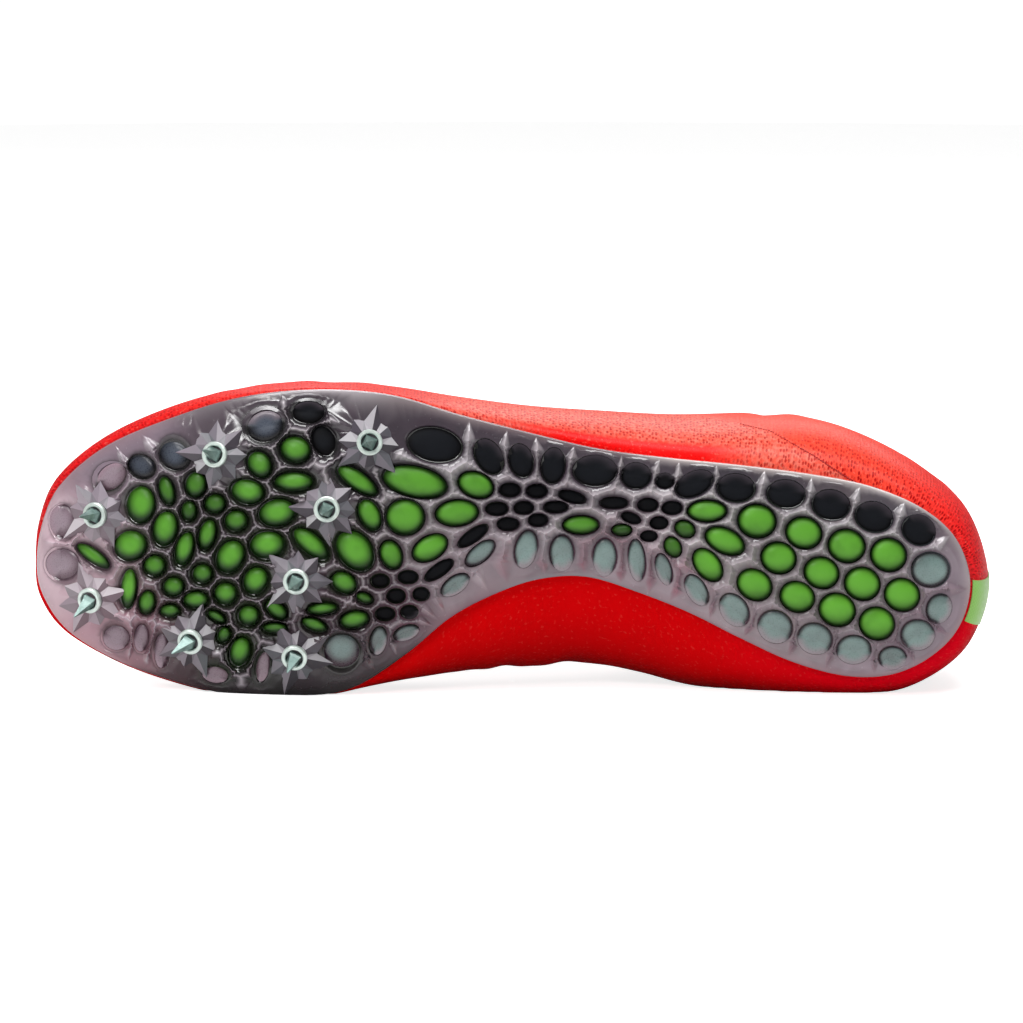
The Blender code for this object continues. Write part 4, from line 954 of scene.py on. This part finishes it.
def padMaterial(name, centre, edge, rim, rough, coat, grain, gloss):
    made, tree, _ = startMaterial(name, {
        "Coat Weight": coat, "Coat Roughness": 0.12, "Specular IOR Level": gloss})
    centre, edge, rim = rgb(*centre), rgb(*edge), rgb(*rim)
    outer, small, opened = channelsOf(tree, "pad")
    clouds = useGroup(tree, cloudGroup, {"Size": 0.006, "Grain Size": 0.0004})
    # painted shade: each dome goes toward its edge colour at its rim and on its lower side
    tone = mixColour(tree, rangeOf(tree, outer, 0.2, 0.97), mixColour(tree, small, centre, edge), edge)
    uneven = mixColour(tree, rangeOf(tree, clouds["Patch"], 0.4, 0.8, 0.0, 0.22), tone, edge)
    # painted shade on the parts of each pad that face downward
    under = mixColour(tree, rangeOf(tree, upwardOf(tree), 0.0, -0.7, 0.0, 0.7), uneven, edge)
    colour = mixColour(tree, rangeOf(tree, opened, 0.1, 0.9), under, rim)
    roughness = rangeOf(tree, clouds["Grain"], 0.2, 0.8, rough - 0.06, rough + 0.08)
    return endMaterial(made, colour, roughness, clouds["Grain"], grain)


padRim = outlineOf(plate["rimPoints"])
for kind, crown, *finish in padKinds:
    built = [buildPad(cell, crown, kind != "green", padRim) for cell in fitted[kind]]
    padPoints, padFaces, padMarks = joinParts(built)
    makePiece(kind + "Pads", padPoints, padFaces, padMaterial(kind + "Pad", *finish), "pads",
                                marks={"pad": padMarks})
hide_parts("cell_floor")
print("pads built")

# Spikes: faceted pins in bright seat rings
spike = {
    "seatLift": 0.0003, "ringRadius": 0.00375, "ringBore": 0.00255, "ringHeight": 0.0013, "bevel": 0.00025,
    "ringSides": 40, "pinLength": 0.0078, "pinSides": 4, "pinTurn": 0.35,
    "pinProfile": ((0.00245, 0.0), (0.0025, 0.0008), (0.00205, 0.0016)),  # radius, height
    "pinTip": ((0.00022, 0.0), (0.00008, 0.00012)),
}


def seatOf(x, y, reach=6.0):
    spots = onSole(np.array((x, x + reach, x)), np.array((y, y, y - reach)), -plate["bossHeight"])
    centre, side, up = (Vector(spot) for spot in spots)
    normal = (side - centre).cross(up - centre).normalized()
    if normal.y > 0:
        normal.negate()
    across = (side - centre).normalized()
    return centre, across, normal.cross(across), normal


def turnedPart(seat, profile, sides, turn=0.0, closed=True):
    centre, across, up, normal = seat
    points = []
    for radius, height in profile:
        for i in range(sides):
            angle = turn + math.tau * i / sides
            outward = across * math.cos(angle) + up * math.sin(angle)
            points.append(centre + normal * height + outward * radius)
    return points, ringFaces(len(profile), sides, closed), []


def buildRing(seat):
    inner, outer, bevel, low = spike["ringBore"], spike["ringRadius"], spike["bevel"], spike["seatLift"]
    high = low + spike["ringHeight"]
    profile = ((inner, low), (inner, high - bevel), (inner + bevel, high),
               (outer - bevel, high), (outer, high - bevel), (outer, low))
    return turnedPart(seat, profile[::-1], spike["ringSides"])


def buildPin(seat, lean):
    length, low = spike["pinLength"], spike["seatLift"]
    centre, across, up, normal = seat
    shift = (across * lean[0] - up * lean[1]) * step
    axis = (shift + normal * math.sqrt(length ** 2 - shift.length_squared)).normalized()
    up = axis.cross(across).normalized()
    profile = [(radius, low + height) for radius, height in spike["pinProfile"]]
    profile += [(radius, low + length + height) for radius, height in spike["pinTip"]]
    leant = centre, up.cross(axis), up, axis
    return turnedPart(leant, profile, spike["pinSides"], spike["pinTurn"], closed=False)


# Metal or plain thread: two tones of the same colour with a fine grain
def grainMaterial(name, colour, dull, rough, metal=0.0):
    made, tree, _ = startMaterial(name, {"Metallic": metal, "Coat Weight": 0.3})
    clouds = useGroup(tree, cloudGroup, {"Size": 0.0014, "Grain Size": 0.0002})
    tone = mixColour(tree, clouds["Patch"], rgb(*colour), rgb(*dull))
    roughness = rangeOf(tree, clouds["Grain"], 0.3, 0.7, rough - 0.05, rough + 0.1)
    return endMaterial(made, tone, roughness, clouds["Grain"], 0.00001)


seats = [seatOf(x, y) for x, y, *_ in spikes]
numbers = range(1, len(spikes) + 1)
ringPoints, ringQuads, _ = joinParts([buildRing(seat) for seat in seats])
ringMetal = grainMaterial("ringMetal", (236, 246, 240), (200, 216, 208), 0.35, 0.55)
rings = makePiece("seatRings", ringPoints, ringQuads, ringMetal, "rings", angle=40)
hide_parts(*[f"spike_ring_{number}" for number in numbers])
pinPoints, pinFaces, _ = joinParts([buildPin(seat, listed[3:]) for seat, listed in zip(seats, spikes)])
pinMetal = grainMaterial("pinMetal", (150, 174, 168), (92, 116, 112), 0.42, 0.6)
pins = makePiece("spikePins", pinPoints, pinFaces, pinMetal, "pins", smooth=False)
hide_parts(*[f"spike_pin_{number}" for number in numbers])
print("spikes built")

# The knitted upper
heelSeam = ((700, 414), (739, 424), (769, 431), (789, 442), (812, 455), (835, 470), (846, 477), (858, 484))
upper = {
    "columns": 400, "lapRows": 2, "lowerRows": 22, "upperRows": 34, "outerEnd": 17.35, "pitch": 0.0012,
    "glareStart": (380, 120), "stripStart": (470, 100), "stripEnd": (770, 70),  # station and reach
}
# Creases pressed in: turn and share at both ends, half width, depth, in metres
creases = (
    (6.2, 1.05, 7.6, 1.95, 0.0040, 0.0009), (5.0, 1.10, 6.0, 1.95, 0.0035, 0.0007),
    (30.6, 1.15, 32.0, 1.95, 0.0040, 0.0010), (29.2, 1.05, 30.4, 1.9, 0.0035, 0.0008),
    (26.2, 0.75, 27.6, 1.55, 0.0042, 0.0012), (27.6, 0.70, 28.2, 1.3, 0.0034, 0.0009),
    (12.2, 1.1, 13.4, 1.8, 0.0045, 0.0008), (22.4, 0.9, 23.6, 1.6, 0.0045, 0.0008),
    (15.0, 1.2, 15.8, 1.85, 0.0035, 0.0006),
)


def pressCreases(grid):
    flat = grid.reshape(-1, 3)
    push = np.zeros(len(flat))
    for *ends, half, deep in creases:
        start, end = (wallGrid(np.array([turn]), [share])[0, 0] for turn, share in (ends[:2], ends[2:]))
        line = end - start
        share = np.clip(((flat - start) @ line) / (line @ line), 0, 1)
        apart = np.linalg.norm(flat - (start + share[:, None] * line), axis=1) / half
        fold = 0.45 * np.exp(-(apart - 1.7) ** 2 * 1.5) - np.exp(-apart ** 2)  # a swelling beside a groove
        push += deep * fold * np.sin(math.pi * np.clip(share, 0.06, 0.94)) ** 0.6
    return grid + gridNormals(grid) * push.reshape(grid.shape[:2])[..., None]


def lengthsAlong(path):
    return np.concatenate([[0], np.cumsum(np.linalg.norm(np.diff(path, axis=0), axis=1))])


# Cloth map of a grid: metres across its columns and up its rows
def metresAlong(grid):
    across = np.linalg.norm(np.roll(grid, -1, 0) - grid, axis=2).mean(1)
    u = np.concatenate([[0], np.cumsum(across)[:-1]])
    rises = np.linalg.norm(np.diff(grid, axis=1), axis=2)
    v = np.concatenate([np.zeros((len(grid), 1)), np.cumsum(rises, 1)], 1)
    return np.stack((np.repeat(u[:, None], grid.shape[1], 1), v), -1).reshape(-1, 2)


def buildUpper():
    turn = np.arange(upper["columns"]) * len(spokes) / upper["columns"]
    shares = np.concatenate([np.linspace(-1, 0, upper["lapRows"] + 1)[:-1],
                             np.linspace(0, 1, upper["lowerRows"] + 1)[:-1],
                             np.linspace(1, 2, upper["upperRows"] + 1)])
    outer = aboveFloor(pressCreases(wallGrid(turn, shares)))
    normals = gridNormals(outer)
    wall = shoe["upperWall"]
    rise = outer[:, -1] - outer[:, -2]
    lip = outer[:, -1] - normals[:, -1] * wall / 2 + rise * 0.7
    inner = aboveFloor(outer - normals * wall, wall)
    return turn, shares, aboveFloor(np.concatenate([outer, lip[:, None], inner[:, ::-1]], 1))


# Marks of the knit: panel holds outer side, row and station, knitZone the painted glare, red strip and holes
def markUpper(turn, shares, grid):
    side = np.where((turn > 0.5) & (turn < upper["outerEnd"]), 1.0, 0.0)
    side = np.convolve(np.concatenate([side[-9:], side, side[:9]]), np.ones(19) / 19, "valid")
    outside = np.repeat(side, grid.shape[1])
    level = np.tile(np.concatenate([shares, [2.05], 3 + shares[::-1]]), len(grid))
    x, y = chartOf(grid.reshape(-1, 3))
    seamX, seamY = np.array(heelSeam[:-1], float).T
    beyond = easeOf((np.interp(x, seamX, seamY, left=-1000, right=2000) - y) / 8 + 0.5)
    pinkAt, stripAt, stripEnd = upper["glareStart"], upper["stripStart"], upper["stripEnd"]
    paintedGlare = (1 - beyond) * easeOf((x - pinkAt[0]) / pinkAt[1]) * outside * (level < 2.2)
    strip = (easeOf((0.34 - level) / 0.12) * easeOf((x - stripAt[0]) / stripAt[1])
             * easeOf((stripEnd[0] - x) / stripEnd[1]) * outside)
    holes = outside * np.where(beyond > 0.5, np.clip(1.05 - level, 0.06, 1), 0.75) + 0.07
    full = np.ones(len(x))
    station = (x - chart["toe"]) / (chart["heel"] - chart["toe"])
    return {"panel": np.stack((outside, level / 5 + 0.2, station, full), -1),
            "knitZone": np.stack((paintedGlare, strip, holes * (1 - strip), full), -1)}


def buildKnitMaterial():
    made, tree, shader = startMaterial("redKnit", {"Specular IOR Level": 0.02, "Coat Roughness": 0.35})
    side, row, station = channelsOf(tree, "panel")
    paintedGlare, strip, holed = channelsOf(tree, "knitZone")
    clothMap = clothMapOf(tree)
    knit = useGroup(tree, knitGroup, {
        "Map": clothMap, "Pitch": upper["pitch"], "Hole Size": 0.50, "Unevenness": 0.7})
    fine = useGroup(tree, weaveGroup, {"Map": clothMap, "Pitch": 0.0007})
    clouds = useGroup(tree, cloudGroup, {"Size": 0.03, "Grain Size": 0.0012})
    outerTone = rampOf(tree, station, (
        (0.0, (222, 16, 26)), (0.25, (246, 46, 38)), (0.5, (250, 62, 42)),
        (0.76, (255, 78, 54)), (0.88, (255, 74, 54)), (1.0, (255, 24, 36))))
    # the inner side is a deeper red, partly its own colour and partly painted shade, and darkens toward its
    # lowest rows as painted shade
    innerHigh = rampOf(tree, station, (
        (0.0, (206, 0, 12)), (0.4, (216, 0, 4)), (0.7, (216, 0, 6)), (1.0, (232, 0, 30))))
    innerTone = mixColour(tree, rangeOf(tree, row, 0.21, 0.42, 0.0, 0.88), innerHigh, rgb(94, 0, 0))
    tone = mixColour(tree, side, innerTone, outerTone)
    layers = (  # each lies over the one before: share and colour
        # painted glare: a pale pink haze over the outer side
        (times(tree, paintedGlare, rangeOf(tree, clouds["Grain"], 0.3, 0.7, 0.25, 0.9)), (242, 124, 106)),
        (strip, (255, 6, 6)),
        (rangeOf(tree, clouds["Patch"], 0.4, 0.8, 0.0, 0.22), (186, 0, 4)),
        (times(tree, knit["Hole"], holed), (180, 0, 4)),
        # painted glints: light specks on the outer side
        (times(tree, knit["Glint"], rangeOf(tree, side, 0.2, 0.8, 0.05, 0.22)), (255, 160, 140)),
        (rangeOf(tree, row, 0.566, 0.570, 0.0, 0.55), (190, 4, 12)),  # band under the collar
        (rangeOf(tree, row, 0.64, 0.66), (150, 14, 18)),  # lining
    )
    for share, colour in layers:
        tone = mixColour(tree, share, tone, rgb(*colour))
    tree.links.new(rangeOf(tree, side, 0.3, 0.9, 0.0, 0.3), shader.inputs["Coat Weight"])
    loops = times(tree, knit["Height"], rangeOf(tree, side, 0.0, 1.0, 0.35, 1.0))
    height = calc(tree, "ADD", loops, times(tree, fine["Height"], 0.25))
    return endMaterial(made, tone, rangeOf(tree, fine["Thread"], 0.3, 0.7, 0.42, 0.62), height, 0.0001)


upperTurn, upperShares, upperGrid = buildUpper()
upperFaces = gridFaces(*upperGrid.shape[:2])
knitUpper = makePiece("knitUpper", upperGrid.reshape(-1, 3), upperFaces, buildKnitMaterial(), "knit",
                      uv=metresAlong(upperGrid), marks=markUpper(upperTurn, upperShares, upperGrid))
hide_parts("upper")
skin = BVHTree.FromPolygons([tuple(point) for point in upperGrid.reshape(-1, 3)], upperFaces)
print("upper built:", len(upperFaces), "faces")

# Seams: small thread beads laid on the knit along the heel seam
seams = {
    "runs": (heelSeam[1:-1], heelSeam[-2:]), "pitch": 2.6, "wander": 0.5,
    "length": 0.0008, "width": 0.00026, "height": 0.00016, "lift": 0.00004,
    "corners": ((-1, 0, 0), (-0.5, -1, 0), (0.5, -1, 0), (1, 0, 0), (0.5, 1, 0), (-0.5, 1, 0),
                (-0.35, 0, 1), (0.35, 0, 1)),
    "faces": ((0, 1, 6), (1, 2, 7, 6), (2, 3, 7), (3, 4, 7), (4, 5, 6, 7), (5, 0, 6), (5, 4, 3, 2, 1, 0)),
}


# The direction flattened onto the surface with this normal, and the one across it
def flatten(lead, normal):
    lead = (lead - normal * lead.dot(normal)).normalized()
    return lead, normal.cross(lead)


def buildBeads():
    beads = []
    for run in seams["runs"]:
        path = np.array(run, float)
        lengths = lengthsAlong(path)
        count = int(lengths[-1] / seams["pitch"])
        for number in range(count):
            at = (number + 0.5) / count * lengths[-1]
            x, y = (np.interp(at, lengths, axis) for axis in path.T)
            aheadX, aheadY = (np.interp(at + 1, lengths, axis) for axis in path.T)
            near, far = (Vector(place(x, y, depth)) for depth in (-0.1, 0.1))
            hit, normal, _, _ = skin.ray_cast(near, (far - near).normalized())
            if hit is None:
                continue
            if normal.dot(near - hit) < 0:
                normal = -normal
            lead, _ = flatten(Vector((aheadX - x, 0, y - aheadY)), normal)
            lead.rotate(Quaternion(normal, seams["wander"] * math.sin(number * 2.4)))
            across = normal.cross(lead)
            points = [hit + lead * along * seams["length"] / 2 + across * sideways * seams["width"]
                      + normal * (up * seams["height"] + seams["lift"])
                      for along, sideways, up in seams["corners"]]
            beads.append((points, seams["faces"], []))
    return joinParts(beads)[:2]


makePiece("seamStitches", *buildBeads(), grainMaterial("seamThread", (196, 8, 14), (140, 0, 8), 0.6), "knit")
print("seams built")

# Binding rolled over the edge of the collar and throat
binding = {"radius": 0.00125, "sides": 10}


def buildBinding():
    edge = upper["lapRows"] + upper["lowerRows"] + upper["upperRows"]
    outerEdge, innerEdge = upperGrid[:, edge], upperGrid[:, edge + 2]
    path = (outerEdge + innerEdge) / 2
    normal = outerEdge - innerEdge
    normal /= np.linalg.norm(normal, axis=1)[:, None]
    across = np.cross(np.roll(path, -1, 0) - np.roll(path, 1, 0), normal)
    across /= np.linalg.norm(across, axis=1)[:, None]
    angles = np.arange(binding["sides"]) * math.tau / binding["sides"]
    ring = normal[:, None] * np.cos(angles)[None, :, None] + across[:, None] * np.sin(angles)[None, :, None]
    points = aboveFloor(path[:, None] + ring * binding["radius"])
    cloth = np.stack((np.repeat(lengthsAlong(path), len(angles)),
                      np.tile(angles * binding["radius"], len(path))), -1)
    return points.reshape(-1, 3), ringFaces(len(path), len(angles)), cloth


# Stitched slots round the lace ends, and their holes as dark discs of painted shade
slots = {"long": 0.0041, "wide": 0.0020, "rim": 0.0008, "height": 0.0006, "sides": 28, "sunk": -0.0002,
         "holeLift": 0.00012, "holeInset": 0.9}


# Where a lace goes into the upper: the surface and its outward direction at both ends of its bar
def endsOf(bar):
    spots = np.array([vertex.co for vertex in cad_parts[bar].data.vertices])
    order = spots[:, 2].argsort()
    found = []
    for corners in (order[-6:], order[:6]):
        end = Vector(spots[corners].mean(0))
        spot, normal, _, _ = skin.find_nearest(end)
        found.append((spot, normal if normal.dot(end - spot) > 0 else -normal))
    return found


# Oval rings round a lace end; each row is an inset in rims and a height
def ovalRings(spot, normal, rows):
    lead, across = flatten(Vector((1, 0, 0)), normal)
    points = []
    for inset, height in rows:
        for i in range(slots["sides"]):
            angle = math.tau * i / slots["sides"]
            points.append(spot + lead * math.cos(angle) * (slots["long"] - inset * slots["rim"])
                          + across * math.sin(angle) * (slots["wide"] - inset * slots["rim"]) + normal * height)
    return points


def buildSlots(laceEnds):
    sides, high, sunk = slots["sides"], slots["height"], slots["sunk"]
    rimRows = ((0.0, sunk), (0.0, 0.6 * high), (0.3, high), (0.7, high), (1.0, 0.6 * high), (1.0, sunk))
    holeRows = ((slots["holeInset"], slots["holeLift"]), (slots["holeInset"], sunk))
    rims = [(ovalRings(*end, rimRows), ringFaces(len(rimRows), sides), []) for end in laceEnds]
    holeFaces = [tuple(range(sides)), tuple(reversed(range(sides, 2 * sides)))]
    holeFaces += [face[::-1] for face in ringFaces(2, sides, closed=False)]
    holes = [(ovalRings(*end, holeRows), holeFaces, []) for end in laceEnds]
    return joinParts(rims)[:2], joinParts(holes)[:2]


# How far the lace ends dip into their slots
laces = {"dip": 0.0019, "reach": 0.0034, "shape": 1.3}


# A finer copy of a plain solid, rounded and mapped in metres as seen from its front
def clothFrom(node, name, material, levels=2, rounded=0.5, laceEnds=()):
    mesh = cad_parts[node].data.copy()
    mesh.name = name
    mesh.materials.clear()
    mesh.materials.append(material)
    shape = bmesh.new()
    shape.from_mesh(mesh)
    bmesh.ops.remove_doubles(shape, verts=shape.verts[:], dist=1e-6)
    bmesh.ops.join_triangles(shape, faces=shape.faces[:], angle_face_threshold=0.5, angle_shape_threshold=0.8)
    bmesh.ops.subdivide_edges(shape, edges=shape.edges[:], cuts=levels, use_grid_fill=True)
    for _ in range(3):
        bmesh.ops.smooth_vert(shape, verts=shape.verts[:], factor=rounded,
                              use_axis_x=True, use_axis_y=True, use_axis_z=True)
    for vertex in shape.verts:
        for spot, normal in laceEnds:
            away = vertex.co - spot
            apart = abs((away - normal * away.dot(normal)).z)
            vertex.co -= normal * laces["dip"] * max(0.0, 1 - apart / laces["reach"]) ** laces["shape"]
    layer = shape.loops.layers.uv.new("clothMap")
    for face in shape.faces:
        for loop in face.loops:
            loop[layer].uv = loop.vert.co.xz
    bmesh.ops.recalc_face_normals(shape, faces=shape.faces[:])
    shape.to_mesh(mesh)
    shape.free()
    mesh.shade_smooth()
    piece = addPiece(name, mesh)
    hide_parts(node)
    return piece


def weaveMaterial(name, light, dark, pitch, depth, rough, coat=0.0):
    made, tree, _ = startMaterial(name, {"Coat Weight": coat, "Sheen Weight": 0.2})
    weave = useGroup(tree, weaveGroup, {"Map": clothMapOf(tree), "Pitch": pitch})
    clouds = useGroup(tree, cloudGroup, {"Size": 0.01, "Grain Size": 0.0005})
    tone = mixColour(tree, weave["Height"], rgb(*dark), rgb(*light))
    worn = mixColour(tree, times(tree, clouds["Patch"], 0.4), tone, rgb(*dark))
    roughness = rangeOf(tree, weave["Thread"], 0.3, 0.7, rough - 0.1, rough + 0.1)
    return endMaterial(made, worn, roughness, weave["Height"], depth)


tongueMesh = weaveMaterial("tongueMesh", (236, 62, 50), (168, 16, 18), 0.0011, 0.0002, 0.7)
laceWeave = weaveMaterial("laceWeave", (250, 104, 84), (204, 36, 34), 0.0007, 0.00018, 0.6)
insoleCloth = weaveMaterial("insoleCloth", (66, 66, 70), (30, 30, 34), 0.0009, 0.00012, 0.85)
stripeFilm = weaveMaterial("stripeFilm", (150, 208, 100), (138, 198, 86), 0.0006, 0.00002, 0.45, 0.15)
bindingTape = weaveMaterial("bindingTape", (206, 22, 24), (120, 4, 10), 0.0008, 0.00012, 0.7)
tongue = clothFrom("tongue", "tongueFlap", tongueMesh, 3)
clothFrom("insole", "sockLiner", insoleCloth)

# The heel stripe runs up the back of the heel from the plate's edge to the collar
heelBand = {"from": 17.0, "to": 17.95, "low": 0.03, "high": 2.0, "across": 9, "up": 40, "proud": 0.00035}


def buildHeelBand():
    turns = np.linspace(heelBand["from"], heelBand["to"], heelBand["across"])
    under = wallGrid(turns, np.linspace(heelBand["low"], heelBand["high"], heelBand["up"]))
    normals = gridNormals(under, closed=False)
    under = aboveFloor(under)
    over = aboveFloor(under + normals * heelBand["proud"])
    shape = over.shape[:2]
    shift = shape[0] * shape[1]
    front = gridFaces(*shape, closed=False)
    index = np.arange(shift).reshape(shape)
    edge = np.concatenate([index[0], index[1:, -1], index[-1, -2::-1], index[-2:0:-1, 0]]).tolist()
    faces = front + [tuple(shift + corner for corner in face[::-1]) for face in front]
    faces += [(here, ahead, shift + ahead, shift + here) for here, ahead in zip(edge, edge[1:] + edge[:1])]
    points = np.concatenate([over.reshape(-1, 3), under.reshape(-1, 3)])
    return points, faces, np.tile(metresAlong(over), (2, 1))


bandPoints, bandFaces, bandCloth = buildHeelBand()
stripe = makePiece("heelStripe", bandPoints, bandFaces, stripeFilm, "stripe", uv=bandCloth, angle=50)
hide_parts("heel_stripe")
allEnds = []
for number in range(1, 7):
    barEnds = endsOf(f"lace_bar_{number}")
    allEnds += barEnds
    clothFrom(f"lace_bar_{number}", f"laceBar{number}", laceWeave, 3, rounded=0.3, laceEnds=barEnds)
bindingPoints, bindingFaces, bindingCloth = buildBinding()
makePiece("collarBinding", bindingPoints, bindingFaces, bindingTape, "knit", uv=bindingCloth)
slotRims, slotHoles = buildSlots(allEnds)
slotThread = grainMaterial("slotThread", (224, 30, 28), (150, 4, 10), 0.6)
slotShade = grainMaterial("slotShade", (70, 4, 8), (34, 0, 2), 0.8)
makePiece("laceSlots", *slotRims, slotThread, "knit", angle=60)
makePiece("laceSlotHoles", *slotHoles, slotShade, "knit", angle=30)
print("tongue, insole, stripe and laces built")

# Floor, light and camera
stage = {
    "around": 64, "rimRows": 9, "floorRadius": 2.4, "rimRadius": 3.4, "rimHeight": 2.6, "floorGrey": 0.86,
    "rimGrey": 0.3, "floorGlow": (0.80, 0.02), "rimGlow": (1.0, 0.08), "skyGlow": (1.0, 0.11),  # seen, lit
}
lights = (  # place, aim, size, power in watts, colour
    ("topPanel", (-0.05, -0.30, 1.30), (0.0, -0.02, 0.05), (1.4, 0.55), 18.0, (1.0, 1.0, 1.0)),
    ("frontPanel", (-0.7, -1.3, 1.0), (0.0, 0.0, 0.05), (0.4, 0.4), 7.0, (1.0, 1.0, 1.0)),
    ("leftStrip", (-0.9, -1.0, 1.3), (-0.05, 0.0, 0.05), (0.10, 0.9), 4.0, (1.0, 0.99, 0.97)),
    ("backPanel", (0.2, 1.4, 1.0), (0.0, 0.0, 0.05), (1.2, 0.8), 9.0, (1.0, 1.0, 1.0)),
)


# Brightness that the camera sees, and another that lights the shoe
def seenOrLit(tree, seen, lit):
    ray = addNode(tree, "ShaderNodeLightPath").outputs["Is Camera Ray"]
    return calc(tree, "MULTIPLY_ADD", ray, seen - lit, lit)


def addStagePiece(name, rows, glow, grey):
    made, tree, shader = startMaterial(name, {"Roughness": 0.9, "Emission Color": (1, 1, 1, 1)})
    tones = ((value, value, value, 1) for value in (grey, grey * 0.97))
    colour = mixColour(tree, noiseOf(tree, {"Scale": 6.0, "Detail": 2.0}), *tones)
    tree.links.new(colour, shader.inputs["Base Color"])
    tree.links.new(seenOrLit(tree, *glow), shader.inputs["Emission Strength"])
    angles = [math.tau * i / stage["around"] for i in range(stage["around"])]
    points = [(radius * math.cos(angle), radius * math.sin(angle), height)
              for angle in angles for radius, height in rows]
    mesh = bpy.data.meshes.new(name)
    mesh.from_pydata(points, [], gridFaces(len(angles), len(rows)))
    mesh.materials.append(made)
    mesh.shade_smooth()
    linkObject(name, mesh)


def buildStage():
    low, wide, high = stage["floorRadius"], stage["rimRadius"], stage["rimHeight"]
    bends = np.linspace(0, math.pi / 2, stage["rimRows"]).tolist()
    rimRows = [(low + (wide - low) * math.sin(bend), high * (1 - math.cos(bend))) for bend in bends]
    floorRows = [(0.0005, 0.0), (0.3, 0.0), (1.0, 0.0), (low, 0.0)]
    addStagePiece("paleFloor", floorRows, stage["floorGlow"], stage["floorGrey"])
    addStagePiece("paleRim", rimRows, stage["rimGlow"], stage["rimGrey"])


def buildLights():
    for name, spot, aim, size, power, colour in lights:
        lamp = bpy.data.lights.new(name, "AREA")
        lamp.shape, lamp.size, lamp.size_y = "RECTANGLE", size[0], size[1]
        lamp.energy, lamp.color = power, colour
        holder = linkObject(name, lamp)
        holder.location = spot
        holder.rotation_euler = (Vector(aim) - Vector(spot)).to_track_quat("-Z", "Y").to_euler()
    world = bpy.data.worlds.new("studio")
    world.use_nodes = True
    tree = world.node_tree
    tree.links.new(seenOrLit(tree, *stage["skyGlow"]), tree.nodes["Background"].inputs[1])
    tree.nodes["Background"].inputs[0].default_value = (1, 1, 1, 1)
    bpy.context.scene.world = world
    bpy.context.scene.view_settings.view_transform = "Standard"


def buildCamera():
    pixels, sensor, rise = 1023, 36.0, chart["rise"]
    lens = bpy.data.cameras.new("photoView")
    lens.sensor_width = sensor
    lens.lens = sensor * chart["distance"] / (pixels * step)
    holder = linkObject("photoView", lens)
    holder.location = lieOn + Vector((0, -math.cos(rise), math.sin(rise))) * chart["distance"]
    holder.rotation_euler = (math.pi / 2 - rise, 0, 0)
    bpy.context.scene.camera = holder


buildStage()
buildLights()
buildCamera()
print("stage, lights and camera ready")
